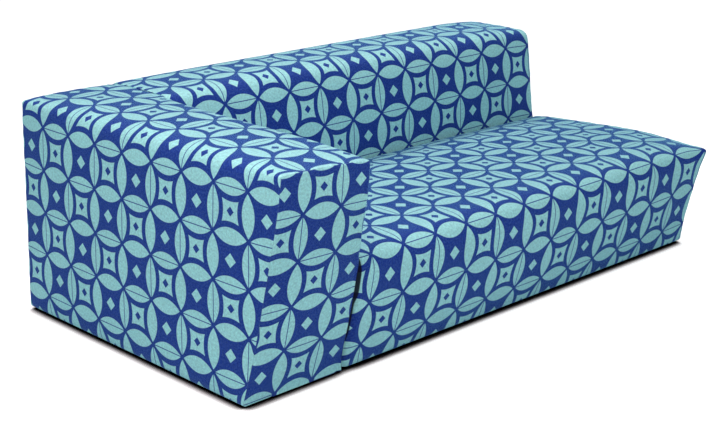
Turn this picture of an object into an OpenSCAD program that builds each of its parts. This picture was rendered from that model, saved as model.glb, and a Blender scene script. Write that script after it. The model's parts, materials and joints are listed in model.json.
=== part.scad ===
// Block-shaped outdoor sofa with one arm and an open end.
// An arm, a seat and a back stand on welded tube frames that are bolted together. Each is built up
// from boards or straps, foam slabs and a sewn cover, whose hems are held under the frame.
// Millimetres, +Z up, the front faces -Y and the arm is at -X.
// The origin is on the floor, at the middle of the overall length and depth.

/* [Overall] */
// Length from the foot of the arm to the open end
sofa_l = 2060; // [1700:10:2600]
// Depth from the front edge to the back
sofa_d = 1200; // [1080:10:1400]
// Height at the crown of the arm and the back
sofa_h = 690; // [640:5:780]
// Gap between the floor and the covers
floor_gap = 15; // [10:1:40]
// How far the foot of the front sits behind its top edge
front_undercut = 140; // [60:5:170]
// Rise of the arm's and the back's tops between their seams
top_crown = 10; // [4:1:20]
// Rise of those tops at their sewn ends
end_crown = 3; // [1:1:4]

/* [Arm] */
// Width of the arm across its top
arm_w = 320; // [260:5:400]
// How far the outer side steps out at its foot
arm_splay = 30; // [5:1:60]
// Radius of the outer top edge
arm_outer_round = 55; // [20:1:70]
// Radius of the inner top edge
arm_inner_round = 28; // [15:1:60]
// Radius of those edges at the sewn corners, and where the tops of the arm and the back meet
arm_corner_round = 12; // [8:1:28]
// Length over which the edges tighten to those corners
arm_corner_l = 130; // [60:5:200]
// Swell of the outer side between its seams
arm_swell = 7; // [2:1:12]
// Drop of the inner front corner
arm_droop = 16; // [0:1:30]
// Length over which that corner drops
arm_droop_l = 240; // [100:10:400]

/* [Seat] */
// Height of the seat at its edges
seat_h = 350; // [320:5:420]
// Rise of the seat's top in the middle
seat_crown = 28; // [10:1:45]
// Rise of the seat's top at its sewn ends
seat_end_crown = 20; // [5:1:40]
// Radius of the front top edge
seat_round = 52; // [25:1:60]
// Radius of that edge at the sewn corners
seat_corner_round = 14; // [8:1:30]
// Length over which the edge tightens to the corner
seat_corner_l = 130; // [60:5:200]
// Radius of the top edge that tucks in against the back
seat_rear_round = 20; // [10:1:40]
// Swell of the front face
seat_swell = 7; // [0:1:12]

/* [Back] */
// Thickness of the back at its top
back_t = 320; // [260:5:400]
// How much thicker the back is at the seat
back_lean = 37; // [10:1:60]
// Radius of the back's top edges
back_round = 42; // [20:1:60]
// Swell of the back's front face above the seat
back_swell = 9; // [0:1:15]
// Swell of the back's rear face
rear_swell = 6; // [1:1:12]
// Drop of the top at the open end
back_droop = 10; // [0:1:30]
// Length over which the top drops
back_droop_l = 220; // [100:10:400]

/* [Covers] */
// Thickness of the backed canvas
cover_t = 3; // [2:0.5:4]
// Radius of the covers' foot
foot_round = 10; // [6:1:16]
// How far a hem laps under the frame
hem_lap = 26; // [15:1:28]
// Height at which the hidden sides end
tuck_h = 190; // [150:5:200]
// Gap between two neighbouring covers
unit_gap = 0.6; // [0.4:0.1:2]
// Swell of the end panels
panel_swell = 8; // [2:1:12]
// Thickness of the hook tape
tape_t = 2; // [1:0.5:3]
// Thickness of the cloth under the frame
dust_t = 1; // [0.5:0.1:1]

/* [Foam] */
// Foam on the outer side of the arm
side_foam_t = 42; // [25:1:60]
// Foam on the inner side of the arm
inner_foam_t = 30; // [20:1:40]
// Foam on top of the arm and the back
top_foam_t = 77; // [60:1:90]
// Foam on the front
front_foam_t = 36; // [25:1:50]
// Foam at the rear
rear_foam_t = 27; // [20:1:40]
// Foam at the open end
end_foam_t = 34; // [25:1:50]
// Foam that one leans on
back_foam_t = 90; // [60:1:100]
// Soft layer on the seat, at its edges
seat_foam_t = 45; // [35:1:50]
// Clearance round a foam piece
soft_clear = 0.3; // [0.2:0.1:0.5]

/* [Frame] */
// Width of the frame's tubes
tube_w = 30; // [28:1:40]
// Height of the frame's rails
tube_h = 40; // [30:1:40]
// Wall of the frame's tubes
tube_wall = 2; // [1.5:0.5:3]
// Thickness of the boards
board_t = 6; // [4:1:9]
// Height of the rails that carry the seat straps
deck_h = 215; // [205:5:230]

/* [Straps] */
// Width of an elastic strap
strap_w = 50; // [40:5:60]
// Thickness of an elastic strap
strap_t = 2; // [1:0.5:3]
// Straps under the seat
seat_straps_n = 12; // [8:1:14]
// Straps behind the back's foam
back_straps_n = 5; // [4:1:6]
// Width of a clamp bar
bar_w = 20; // [14:1:24]
// Thickness of a clamp bar
bar_t = 2; // [1.5:0.5:3]

/* [Glides and fasteners] */
// Radius of a glide
glide_r = 24; // [18:1:28]
// Chamfer of a glide's foot
glide_chamfer = 3; // [1:0.5:4]
// Radius of a glide's screw
screw_r = 2.5; // [2:0.25:3]
// Length of a glide's screw
screw_l = 22; // [18:1:30]
// Radius of a joining bolt
bolt_r = 4; // [3:0.5:5]
// Distance of a joining bolt from the tube beside it
bolt_step = 60; // [40:5:90]
// Clearance of a fastener in its hole
hole_clear = 0.2; // [0.1:0.05:0.4]

/* [Hidden] */
$fn = 48;

// Overrun of cuts
cut = 1;
// Counts of steps along the covers' outlines
foot_steps = 3;
round_steps = 6;
face_steps = 6;
arm_side_steps = 8;
arm_top_steps = 7;
back_top_steps = 6;
seat_top_steps = 9;
tuck_steps = 3;
panel_steps = 6;
// Powers that flatten the swell and the crown towards the middle
swell_power = 4;
crown_power = 2.4;
// Where the covers' cross-sections are taken, as shares of the run between the end slabs
arm_station_shares = [0, 0.06, 0.14, 0.25, 0.4, 0.56, 0.7, 0.84, 0.94, 1];
seat_station_shares = [0.015, 0.04, 0.075, 0.18, 0.32, 0.5, 0.66, 0.8, 0.9, 0.945, 0.98, 1];
back_station_shares = [0.02, 0.1, 0.22, 0.36, 0.5, 0.64, 0.78, 0.88, 0.95, 1];

// Places of the units' outer planes
edge_h = sofa_h - top_crown;
arm_top_x = arm_splay - sofa_l / 2;
joint_x = arm_top_x + arm_w;
arm_in_x = joint_x - unit_gap / 2;
seat_x0 = joint_x + unit_gap / 2;
end_x = sofa_l / 2 - panel_swell;
rear_y = sofa_d / 2 - rear_swell;
front_lean = atan(front_undercut / (edge_h - floor_gap));
side_lean = atan(arm_splay / (edge_h - floor_gap));
back_angle = atan(back_lean / (edge_h - seat_h));
function front_y(z) = front_undercut * (edge_h - z) / (edge_h - floor_gap) - sofa_d / 2;
function side_x(z) = arm_top_x - arm_splay * (edge_h - z) / (edge_h - floor_gap);
function back_y(z) = sofa_d / 2 - back_t - back_lean * (edge_h - z) / (edge_h - seat_h);
function seat_rear_y(z) = back_y(z) - unit_gap / 2;
function back_face_y(z) = back_y(z) + unit_gap / 2;

// Places of the boards and the frames
skin = cover_t + soft_clear;
frame_z0 = floor_gap + cover_t + tape_t;
frame_z1 = frame_z0 + tube_h;
board_z1 = edge_h - cover_t - top_foam_t;
top_rail_z1 = board_z1 - board_t;
top_rail_z0 = top_rail_z1 - tube_h;
deck_z0 = deck_h - tube_h;
arm_board_x0 = arm_top_x + cover_t + side_foam_t;
arm_frame_x0 = arm_board_x0 + board_t;
arm_board_x1 = arm_in_x - cover_t - inner_foam_t;
arm_frame_x1 = arm_board_x1 - board_t;
rear_board_y = rear_y - cover_t - rear_foam_t;
frame_rear_y = rear_board_y - board_t;
end_board_x = end_x - cover_t - end_foam_t;
frame_end_x = end_board_x - board_t;
inner_x0 = seat_x0 + skin;
function front_board_y(z) = front_y(z) + (cover_t + front_foam_t) / cos(front_lean);
function front_frame_y(z) = front_board_y(z) + board_t / cos(front_lean);
function back_foam_y(z) = back_face_y(z) + (cover_t + back_foam_t) / cos(back_angle);
function back_bar_y(z) = back_foam_y(z) + soft_clear;
function back_strap_y(z) = back_bar_y(z) + bar_t / cos(back_angle);
function back_post_y(z) = back_strap_y(z) + strap_t / cos(back_angle);
base_front_y = front_frame_y(frame_z0);
deck_front_y = front_frame_y(deck_z0);
deck_rear_y = seat_rear_y(deck_z0) - skin - tube_w;
back_foot_z = frame_z1 + tube_h;
back_foot_y = back_post_y(back_foot_z);
back_head_y = back_post_y(top_rail_z1);
core_z0 = deck_h + strap_t + bar_t + soft_clear;
core_z1 = seat_h - cover_t - seat_foam_t;

// Places of the cross tubes, the glides and the joining bolts
cross_inset = glide_r + tube_w;
front_cross_y = base_front_y + tube_w + cross_inset / 2;
rear_cross_y = frame_rear_y - tube_w - cross_inset / 2;
middle_cross_y = (front_cross_y + rear_cross_y) / 2;
left_cross_x = joint_x + tube_w + cross_inset;
right_cross_x = frame_end_x - tube_w - cross_inset;
cross_xs = [left_cross_x, (left_cross_x + right_cross_x) / 2, right_cross_x];
post_xs = concat([inner_x0], [for (x = cross_xs) x - tube_w / 2], [frame_end_x - tube_w]);
arm_glide_x = arm_frame_x0 + tube_w + cross_inset / 2;
glide_top = frame_z0 - dust_t;
arm_bolt_ys = [front_cross_y + bolt_step, deck_rear_y - bolt_step, rear_cross_y - bolt_step];
back_bolt_xs = [left_cross_x + bolt_step, right_cross_x - bolt_step];
back_bolt_ys = [back_foot_y + tube_w / 2, frame_rear_y - tube_w / 2];
strap_pitch = (end_board_x - inner_x0 - 2 * tube_w) / seat_straps_n;
back_strap_z0 = back_foot_z + strap_w;
back_strap_pitch = (top_rail_z0 - strap_w - back_strap_z0) / (back_straps_n - 1);

// Sizes of the small fasteners, as multiples of their own radii
head_share = 1.6;
head_h_share = 1.3;
nut_h_share = 1.6;
bar_screw_r = bar_t;
bar_screw_l = tube_h / 4;

// Mixing, swelling and rounding
function mix(a, b, t) = a + (b - a) * t;
function unit(t) = min(1, max(0, t));
function bow(t) = 4 * unit(t) * (1 - unit(t));
function plateau(t, power) = 1 - pow(abs(2 * unit(t) - 1), power);
function last(list) = list[len(list) - 1];
function arc_points(centre, r, from, to, steps) =
    [for (i = [0 : steps]) centre + r * [cos(mix(from, to, i / steps)), sin(mix(from, to, i / steps))]];
function between(a, b, steps) = [for (i = [1 : steps - 1]) mix(a, b, i / steps)];
function slice(list, from, to) = [for (i = [from : to]) list[i]];

// Outline of the arm across its width, as [x, z], set in by d, from the outer hem over the top
function arm_outline(d, low, outer_r, inner_r) =
    let (foot_z = floor_gap + foot_round,
        outer_z = edge_h - outer_r,
        foot = arc_points([side_x(foot_z) + foot_round / cos(side_lean), foot_z],
            foot_round - d, 270, 180 - side_lean, foot_steps),
        outer = arc_points([side_x(outer_z) + outer_r / cos(side_lean), outer_z],
            outer_r - d, 180 - side_lean, 90, round_steps),
        inner = arc_points([arm_in_x - inner_r, edge_h - inner_r],
            inner_r - d, 90, 0, foot_steps + 1),
        end = [arm_in_x - d, low])
    concat([[arm_frame_x0 + hem_lap, floor_gap + d]], foot,
        between(last(foot), outer[0], arm_side_steps), outer,
        between(last(outer), inner[0], arm_top_steps), inner,
        between(last(inner), end, tuck_steps + 1), [end]);

// The front ends lie on the slanted front, the rear ones on the flat rear
arm_last = len(arm_station_shares) + 1;
function arm_y(z, k, d) =
    k == 0 ? front_y(z) + d / cos(front_lean)
    : k == arm_last ? rear_y - d
    : mix(front_board_y(z), rear_board_y, arm_station_shares[k - 1]);
// Radius of a top edge at station k, which tightens over the run from each end
function arm_edge_round(k, r, rear_end) =
    let (y = arm_y(edge_h, k, 0),
        run = min(y - front_y(edge_h), rear_end - y),
        near = unit(run / arm_corner_l))
    mix(arm_corner_round, r, near * (2 - near));
function arm_point(p, k, d) =
    let (y = arm_y(p.y, k, d),
        run = y - front_y(p.y),
        full = plateau(run / (rear_y - front_y(p.y)), swell_power),
        rise = unit((p.y - floor_gap) / (edge_h - floor_gap)),
        across = unit((p.x - arm_top_x) / arm_w),
        near = 1 - unit(run / arm_droop_l),
        swell = p.x < arm_top_x + arm_outer_round ? arm_swell * bow(rise) * full : 0,
        crown = 2 * rise > 1 ? mix(end_crown, top_crown, full) * bow(across) : 0)
    [p.x - swell, y, p.y + crown - arm_droop * rise * across * near * near];
function arm_section(k, d, low) =
    let (outer_r = arm_edge_round(k, arm_outer_round, rear_y),
        inner_r = arm_edge_round(k, arm_inner_round, back_face_y(edge_h)))
    [for (p = arm_outline(d, low, outer_r, inner_r)) arm_point(p, k, d)];

// Outline of the seat across its depth, as [y, z], from the front hem over the top to the tuck
function seat_outline(d, low, r) =
    let (foot_z = floor_gap + foot_round,
        front_z = seat_h - r,
        rear_z = seat_h - seat_rear_round,
        foot = arc_points([front_y(foot_z) + foot_round / cos(front_lean), foot_z],
            foot_round - d, 270, 180 + front_lean, foot_steps),
        front = arc_points([front_y(front_z) + r / cos(front_lean), front_z],
            r - d, 180 + front_lean, 90, round_steps),
        rear = arc_points([seat_rear_y(rear_z) - seat_rear_round / cos(back_angle), rear_z],
            seat_rear_round - d, 90, -back_angle, foot_steps),
        end = [seat_rear_y(low) - d / cos(back_angle), low])
    concat([[base_front_y + hem_lap, floor_gap + d]], foot,
        between(last(foot), front[0], face_steps), front,
        between(last(front), rear[0], seat_top_steps), rear,
        between(last(rear), end, tuck_steps), [end]);

seat_last = len(seat_station_shares) + 1;
function seat_x(k, d) =
    k == 0 ? seat_x0 + d
    : k == seat_last ? end_x - d
    : mix(seat_x0, end_board_x, seat_station_shares[k - 1]);
function seat_edge_round(x) =
    let (near = unit(min(x - seat_x0, end_x - x) / seat_corner_l))
    mix(seat_corner_round, seat_round, near * (2 - near));
function seat_point(p, x) =
    let (full = plateau((x - seat_x0) / (end_x - seat_x0), swell_power),
        edge_y = front_y(seat_h),
        across = (p.x - edge_y) / (back_y(seat_h) - edge_y),
        rise = (p.y - floor_gap) / (seat_h - floor_gap),
        swell = 2 * across < 1 ? seat_swell * bow(rise) * full : 0,
        crown = mix(seat_end_crown, seat_crown, full) * plateau(across, crown_power))
    [x, p.x - swell, p.y + (2 * rise > 1 ? crown : 0)];
function seat_section(k, d, low) =
    let (x = seat_x(k, d))
    [for (p = seat_outline(d, low, seat_edge_round(x))) seat_point(p, x)];

// Outline of the back across its depth, as [y, z], from the tuck over the top to the rear hem
function back_outline(d, low) =
    let (top_z = edge_h - back_round,
        foot_z = floor_gap + foot_round,
        start = [back_face_y(low) + d / cos(back_angle), low],
        front = arc_points([back_face_y(top_z) + back_round / cos(back_angle), top_z],
            back_round - d, 180 - back_angle, 90, round_steps),
        rear = arc_points([rear_y - back_round, top_z], back_round - d, 90, 0, round_steps),
        foot = arc_points([rear_y - foot_round, foot_z], foot_round - d, 0, -90, foot_steps))
    concat([start], between(start, front[0], face_steps + 1), front,
        between(last(front), rear[0], back_top_steps), rear,
        between(last(rear), foot[0], face_steps), foot, [[frame_rear_y - hem_lap, floor_gap + d]]);

back_last = len(back_station_shares) + 1;
function back_x(k, d) =
    k == 0 ? seat_x0 + d
    : k == back_last ? end_x - d
    : mix(seat_x0, end_board_x, back_station_shares[k - 1]);
function back_point(p, x) =
    let (full = plateau((x - seat_x0) / (end_x - seat_x0), swell_power),
        across = (p.x - back_y(edge_h)) / (rear_y - back_y(edge_h)),
        rise = unit((p.y - floor_gap) / (edge_h - floor_gap)),
        above = unit((p.y - seat_h) / (edge_h - seat_h)),
        near = 1 - unit((end_x - x) / back_droop_l),
        swell = 2 * across < 1 ? -back_swell * bow(above) : rear_swell * bow(rise),
        crown = 2 * rise > 1 ? mix(end_crown, top_crown, full) * bow(across) : 0)
    [x, p.x + swell * full, p.y + crown - back_droop * rise * near * near];
function back_section(k, d, low) =
    let (x = back_x(k, d))
    [for (p = back_outline(d, low)) back_point(p, x)];

// An end panel as rows from the foot up, each spanning the outline, swelled out along push
function panel_rows(outline, push) =
    let (n = len(outline) - 1,
        low = min([for (p = outline) p.z]),
        high = max([for (p = outline) p.z]))
    [for (j = [0 : floor(n / 2)])
        let (a = outline[j], b = outline[n - j], rise = ((a.z + b.z) / 2 - low) / (high - low))
        [for (c = [0 : panel_steps]) mix(a, b, c / panel_steps) + push * bow(c / panel_steps) * bow(rise)]];
function hemmed(rows, hem) = concat([[for (p = rows[0]) p + hem]], rows);
// A list of points with an even count, so that no row of a panel is a single point
function paired(points) =
    len(points) % 2 == 0 ? points
    : concat([points[0], mix(points[0], points[1], 1 / 2)], slice(points, 1, len(points) - 1));

// A closed sheet between two grids of points that have the same rows and columns.
// From the column turn_at on, the faces' diagonals run the other way.
module thick_sheet(outer, inner, flip = false, turn_at = undef) {
    rows = len(outer);
    cols = len(outer[0]);
    size = rows * cols;
    turn = is_undef(turn_at) ? cols : turn_at;
    ring = concat(
        [for (c = [0 : cols - 1]) c],
        [for (r = [1 : rows - 1]) r * cols + cols - 1],
        [for (c = [cols - 2 : -1 : 0]) (rows - 1) * cols + c],
        [for (r = [rows - 2 : -1 : 1]) r * cols]);
    sheet = [for (r = [0 : rows - 2], c = [0 : cols - 2])
        let (a = r * cols + c, b = a + cols)
        each (c < turn ? [[a, a + 1, b + 1], [a, b + 1, b]] : [[a, a + 1, b], [a + 1, b + 1, b]])];
    rim = [for (i = [0 : len(ring) - 1])
        let (a = ring[i], b = ring[(i + 1) % len(ring)])
        each [[a, size + a, size + b], [a, size + b, b]]];
    faces = concat(sheet, [for (f = sheet) [size + f[2], size + f[1], size + f[0]]], rim);
    polyhedron(
        points = concat([for (row = outer) each row], [for (row = inner) each row]),
        faces = flip ? [for (f = faces) [f[2], f[1], f[0]]] : faces,
        convexity = 6);
}

// A sewn end panel, or the foam behind it, between two sets of panel rows
module panel(outer, inner, flip = false) {
    thick_sheet(outer, inner, flip, panel_steps / 2);
}

// Straight tubes along the three axes, and a tube that leans in the depth direction
module tube_x(x0, x1, y, z) {
    difference() {
        translate([x0, y, z]) cube([x1 - x0, tube_w, tube_h]);
        translate([x0 - cut, y + tube_wall, z + tube_wall])
            cube([x1 - x0 + 2 * cut, tube_w - 2 * tube_wall, tube_h - 2 * tube_wall]);
    }
}

module tube_y(y0, y1, x, z) {
    difference() {
        translate([x, y0, z]) cube([tube_w, y1 - y0, tube_h]);
        translate([x + tube_wall, y0 - cut, z + tube_wall])
            cube([tube_w - 2 * tube_wall, y1 - y0 + 2 * cut, tube_h - 2 * tube_wall]);
    }
}

module lean_post(x, y0, z0, y1, z1) {
    slope = (y1 - y0) / (z1 - z0);
    translate([x, 0, 0]) rotate([90, 0, 90]) difference() {
        linear_extrude(tube_w)
            polygon([[y0, z0], [y0 + tube_w, z0], [y1 + tube_w, z1], [y1, z1]]);
        translate([0, 0, tube_wall]) linear_extrude(tube_w - 2 * tube_wall) polygon([
            [y0 + tube_wall - slope * cut, z0 - cut],
            [y0 + tube_w - tube_wall - slope * cut, z0 - cut],
            [y1 + tube_w - tube_wall + slope * cut, z1 + cut],
            [y1 + tube_wall + slope * cut, z1 + cut]]);
    }
}

// A plate seen from the side, as [y, z] points, between two places along the length
module side_plate(x0, x1, points) {
    translate([x0, 0, 0]) rotate([90, 0, 90]) linear_extrude(x1 - x0) polygon(points);
}

module cylinder_x(x0, x1, r) {
    translate([x0, 0, 0]) rotate([0, 90, 0]) cylinder(h = x1 - x0, r = r);
}

// Frames

module arm_frame() {
    outer_x = arm_frame_x0;
    inner_x = joint_x - tube_w;
    post_x = arm_frame_x1 - tube_w;
    head_y = front_frame_y(top_rail_z0);
    color("silver") difference() {
        union() {
            for (x = [outer_x, inner_x]) tube_y(base_front_y, frame_rear_y, x, frame_z0);
            for (y = [base_front_y, front_cross_y - tube_w / 2, middle_cross_y - tube_w / 2,
                    rear_cross_y - tube_w / 2, frame_rear_y - tube_w])
                tube_x(outer_x + tube_w, inner_x, y, frame_z0);
            for (x = [outer_x, post_x]) {
                lean_post(x, front_frame_y(frame_z1), frame_z1, head_y, top_rail_z0);
                for (y = [middle_cross_y - tube_w / 2, frame_rear_y - tube_w])
                    lean_post(x, y, frame_z1, y, top_rail_z0);
                tube_y(head_y, frame_rear_y, x, top_rail_z0);
            }
            for (y = [head_y, middle_cross_y - tube_w / 2, frame_rear_y - tube_w])
                tube_x(outer_x + tube_w, post_x, y, top_rail_z0);
        }
        for (y = arm_bolt_ys)
            translate([0, y, frame_z0 + tube_h / 2])
                cylinder_x(inner_x - cut, joint_x + cut, bolt_r + hole_clear);
        for (y = [front_cross_y, rear_cross_y])
            translate([arm_glide_x, y, frame_z0 - cut])
                cylinder(h = tube_wall + 2 * cut, r = screw_r + hole_clear);
    }
}

module base_frame() {
    right_x = frame_end_x - tube_w;
    color("silver") difference() {
        union() {
            for (x = [joint_x, right_x]) tube_y(base_front_y, frame_rear_y, x, frame_z0);
            for (y = [base_front_y, deck_rear_y, back_foot_y, frame_rear_y - tube_w])
                tube_x(joint_x + tube_w, right_x, y, frame_z0);
            for (x = cross_xs) {
                tube_y(base_front_y + tube_w, deck_rear_y, x - tube_w / 2, frame_z0);
                tube_y(back_foot_y + tube_w, frame_rear_y - tube_w, x - tube_w / 2, frame_z0);
            }
            for (y = [deck_front_y, deck_rear_y]) tube_x(inner_x0, frame_end_x, y, deck_z0);
            for (x = post_xs) {
                lean_post(x, front_frame_y(frame_z1), frame_z1, deck_front_y, deck_z0);
                lean_post(x, deck_rear_y, frame_z1, deck_rear_y, deck_z0);
                tube_y(deck_front_y + tube_w, deck_rear_y, x, deck_z0);
            }
        }
        for (y = arm_bolt_ys)
            translate([0, y, frame_z0 + tube_h / 2])
                cylinder_x(joint_x - cut, joint_x + tube_w + cut, bolt_r + hole_clear);
        for (x = back_bolt_xs, y = back_bolt_ys)
            translate([x, y, frame_z1 - tube_wall - cut])
                cylinder(h = tube_wall + 2 * cut, r = bolt_r + hole_clear);
        for (x = cross_xs, y = [front_cross_y, rear_cross_y])
            translate([x, y, frame_z0 - cut])
                cylinder(h = tube_wall + 2 * cut, r = screw_r + hole_clear);
        for (i = [0 : seat_straps_n - 1], y = [deck_front_y, deck_rear_y])
            translate([seat_strap_x(i), y + tube_w / 2, deck_h - tube_wall - cut])
                cylinder(h = tube_wall + 2 * cut, r = bar_screw_r + hole_clear);
    }
}

module back_frame() {
    rear_rail_y = frame_rear_y - tube_w;
    color("silver") difference() {
        union() {
            for (y = [back_foot_y, rear_rail_y]) tube_x(inner_x0, frame_end_x, y, frame_z1);
            for (y = [back_head_y, rear_rail_y]) tube_x(inner_x0, frame_end_x, y, top_rail_z0);
            for (x = post_xs) {
                lean_post(x, back_post_y(back_foot_z), back_foot_z,
                    back_post_y(top_rail_z0), top_rail_z0);
                lean_post(x, rear_rail_y, back_foot_z, rear_rail_y, top_rail_z0);
                tube_y(back_foot_y + tube_w, rear_rail_y, x, frame_z1);
                tube_y(back_head_y + tube_w, rear_rail_y, x, top_rail_z0);
            }
        }
        for (x = back_bolt_xs, y = back_bolt_ys)
            translate([x, y, frame_z1 - cut])
                cylinder(h = tube_h + 2 * cut, r = bolt_r + hole_clear);
        for (i = [0 : back_straps_n - 1], x = post_xs)
            back_strap_screw_place(i, x + tube_w / 2)
                translate([0, 0, strap_t + bar_t])
                    cylinder(h = tube_wall + cut, r = bar_screw_r + hole_clear);
    }
}

// Joining bolts and nuts

module hex_head(h) {
    cylinder(h = h, r = bolt_r * head_share, $fn = 6);
}

module arm_joint_bolts() {
    color("gray") for (y = arm_bolt_ys)
        translate([joint_x - tube_w, y, frame_z0 + tube_h / 2]) rotate([0, 90, 0]) {
            translate([0, 0, -bolt_r * head_h_share]) hex_head(bolt_r * head_h_share);
            cylinder(h = 2 * tube_w + bolt_r * (nut_h_share + 1), r = bolt_r);
        }
}

module arm_joint_nuts() {
    color("gray") for (y = arm_bolt_ys)
        translate([joint_x + tube_w, y, frame_z0 + tube_h / 2]) rotate([0, 90, 0]) difference() {
            hex_head(bolt_r * nut_h_share);
            translate([0, 0, -cut]) cylinder(h = bolt_r * nut_h_share + 2 * cut, r = bolt_r);
        }
}

module back_joint_bolts() {
    color("gray") for (x = back_bolt_xs, y = back_bolt_ys)
        translate([x, y, back_foot_z]) rotate([180, 0, 0]) {
            translate([0, 0, -bolt_r * head_h_share]) hex_head(bolt_r * head_h_share);
            cylinder(h = tube_h + tube_wall + bolt_r * (nut_h_share + 1), r = bolt_r);
        }
}

module back_joint_nuts() {
    color("gray") for (x = back_bolt_xs, y = back_bolt_ys)
        translate([x, y, frame_z1 - tube_wall]) rotate([180, 0, 0]) difference() {
            hex_head(bolt_r * nut_h_share);
            translate([0, 0, -cut]) cylinder(h = bolt_r * nut_h_share + 2 * cut, r = bolt_r);
        }
}

// Straps, clamp bars and their screws

function seat_strap_x(i) = inner_x0 + tube_w + strap_pitch * (i + 1 / 2);
function back_strap_z(i) = back_strap_z0 + back_strap_pitch * i;

module seat_straps() {
    color("dimgray") for (i = [0 : seat_straps_n - 1]) difference() {
        translate([seat_strap_x(i) - strap_w / 2, deck_front_y, deck_h])
            cube([strap_w, deck_rear_y + tube_w - deck_front_y, strap_t]);
        for (y = [deck_front_y, deck_rear_y])
            translate([seat_strap_x(i), y + tube_w / 2, deck_h - cut])
                cylinder(h = strap_t + 2 * cut, r = bar_screw_r + hole_clear);
    }
}

module seat_strap_bars() {
    x0 = seat_strap_x(0) - strap_w / 2;
    x1 = seat_strap_x(seat_straps_n - 1) + strap_w / 2;
    color("darkgray") for (y = [deck_front_y, deck_rear_y]) difference() {
        translate([x0, y + (tube_w - bar_w) / 2, deck_h + strap_t]) cube([x1 - x0, bar_w, bar_t]);
        for (i = [0 : seat_straps_n - 1])
            translate([seat_strap_x(i), y + tube_w / 2, deck_h + strap_t]) bar_countersink();
    }
}

// The cut for a flush screw, from the underside of a bar up
module bar_countersink() {
    translate([0, 0, -cut]) cylinder(h = bar_t + 2 * cut, r = bar_screw_r + hole_clear);
    translate([0, 0, bar_t / 2])
        cylinder(h = bar_t / 2 + cut, r = bar_screw_r * head_share + hole_clear);
}

// A flush screw that points down, with the top of its head at zero
module bar_screw() {
    translate([0, 0, -bar_t / 2]) cylinder(h = bar_t / 2, r = bar_screw_r * head_share);
    translate([0, 0, -bar_screw_l]) cylinder(h = bar_screw_l - bar_t / 2, r = bar_screw_r);
}

module seat_strap_screws() {
    color("gray") for (i = [0 : seat_straps_n - 1], y = [deck_front_y, deck_rear_y])
        translate([seat_strap_x(i), y + tube_w / 2, deck_h + strap_t + bar_t]) bar_screw();
}

// Places a shape at a back strap's screw, with its own z axis running into the post
module back_strap_screw_place(i, x) {
    z = back_strap_z(i);
    translate([x, back_bar_y(z), z]) rotate([-90 - back_angle, 0, 0]) children();
}

module back_straps() {
    color("dimgray") for (i = [0 : back_straps_n - 1]) {
        z0 = back_strap_z(i) - strap_w / 2;
        z1 = back_strap_z(i) + strap_w / 2;
        difference() {
            side_plate(inner_x0, frame_end_x, [[back_strap_y(z0), z0], [back_post_y(z0), z0],
                [back_post_y(z1), z1], [back_strap_y(z1), z1]]);
            for (x = post_xs) back_strap_screw_place(i, x + tube_w / 2)
                cylinder(h = bar_t + strap_t + 2 * cut, r = bar_screw_r + hole_clear);
        }
    }
}

module back_strap_bars() {
    z0 = back_strap_z(0) - strap_w / 2;
    z1 = back_strap_z(back_straps_n - 1) + strap_w / 2;
    color("darkgray") for (x = post_xs) difference() {
        side_plate(x + (tube_w - bar_w) / 2, x + (tube_w + bar_w) / 2,
            [[back_bar_y(z0), z0], [back_strap_y(z0), z0], [back_strap_y(z1), z1], [back_bar_y(z1), z1]]);
        for (i = [0 : back_straps_n - 1])
            back_strap_screw_place(i, x + tube_w / 2)
                translate([0, 0, bar_t]) rotate([180, 0, 0]) bar_countersink();
    }
}

module back_strap_screws() {
    color("gray") for (i = [0 : back_straps_n - 1], x = post_xs)
        back_strap_screw_place(i, x + tube_w / 2) rotate([180, 0, 0]) bar_screw();
}

// Boards

module arm_outer_board() {
    color("slategray") side_plate(arm_board_x0, arm_frame_x0, [
        [front_frame_y(frame_z0), frame_z0], [rear_board_y, frame_z0],
        [rear_board_y, top_rail_z1], [front_board_y(top_rail_z1), top_rail_z1],
        [front_board_y(frame_z0), frame_z0]]);
}

module arm_inner_board() {
    color("slategray") side_plate(arm_frame_x1, arm_board_x1, [
        [front_board_y(tuck_h), tuck_h], [rear_board_y, tuck_h],
        [rear_board_y, top_rail_z1], [front_board_y(top_rail_z1), top_rail_z1]]);
}

module arm_top_board() {
    y0 = front_board_y(top_rail_z1);
    color("slategray") translate([arm_board_x0, y0, top_rail_z1])
        cube([arm_board_x1 - arm_board_x0, rear_board_y - y0, board_t]);
}

// A board that leans with the front, between two heights
module front_board(x0, x1, z0, z1) {
    side_plate(x0, x1, [[front_board_y(z0), z0], [front_frame_y(z0), z0],
        [front_frame_y(z1), z1], [front_board_y(z1), z1]]);
}

module arm_front_board() {
    color("slategray") front_board(arm_frame_x0, arm_frame_x1, frame_z0, top_rail_z1);
}

module arm_rear_board() {
    color("slategray") translate([arm_frame_x0, frame_rear_y, frame_z0])
        cube([arm_frame_x1 - arm_frame_x0, board_t, top_rail_z1 - frame_z0]);
}

module seat_front_board() {
    color("slategray") front_board(inner_x0, frame_end_x, frame_z0, deck_h);
}

module seat_end_board() {
    color("slategray") side_plate(frame_end_x, end_board_x, [
        [front_board_y(frame_z0), frame_z0], [seat_rear_y(frame_z0) - skin, frame_z0],
        [seat_rear_y(deck_h) - skin, deck_h], [front_board_y(deck_h), deck_h]]);
}

module back_rear_board() {
    color("slategray") translate([inner_x0, frame_rear_y, frame_z0])
        cube([frame_end_x - inner_x0, board_t, top_rail_z1 - frame_z0]);
}

module back_top_board() {
    color("slategray") translate([inner_x0, back_head_y, top_rail_z1])
        cube([end_board_x - inner_x0, rear_board_y - back_head_y, board_t]);
}

module back_end_board() {
    color("slategray") side_plate(frame_end_x, end_board_x, [
        [back_post_y(back_foot_z), frame_z0], [rear_board_y, frame_z0],
        [rear_board_y, top_rail_z1], [back_post_y(top_rail_z1), top_rail_z1],
        [back_post_y(back_foot_z), back_foot_z]]);
}

// Foam

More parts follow.
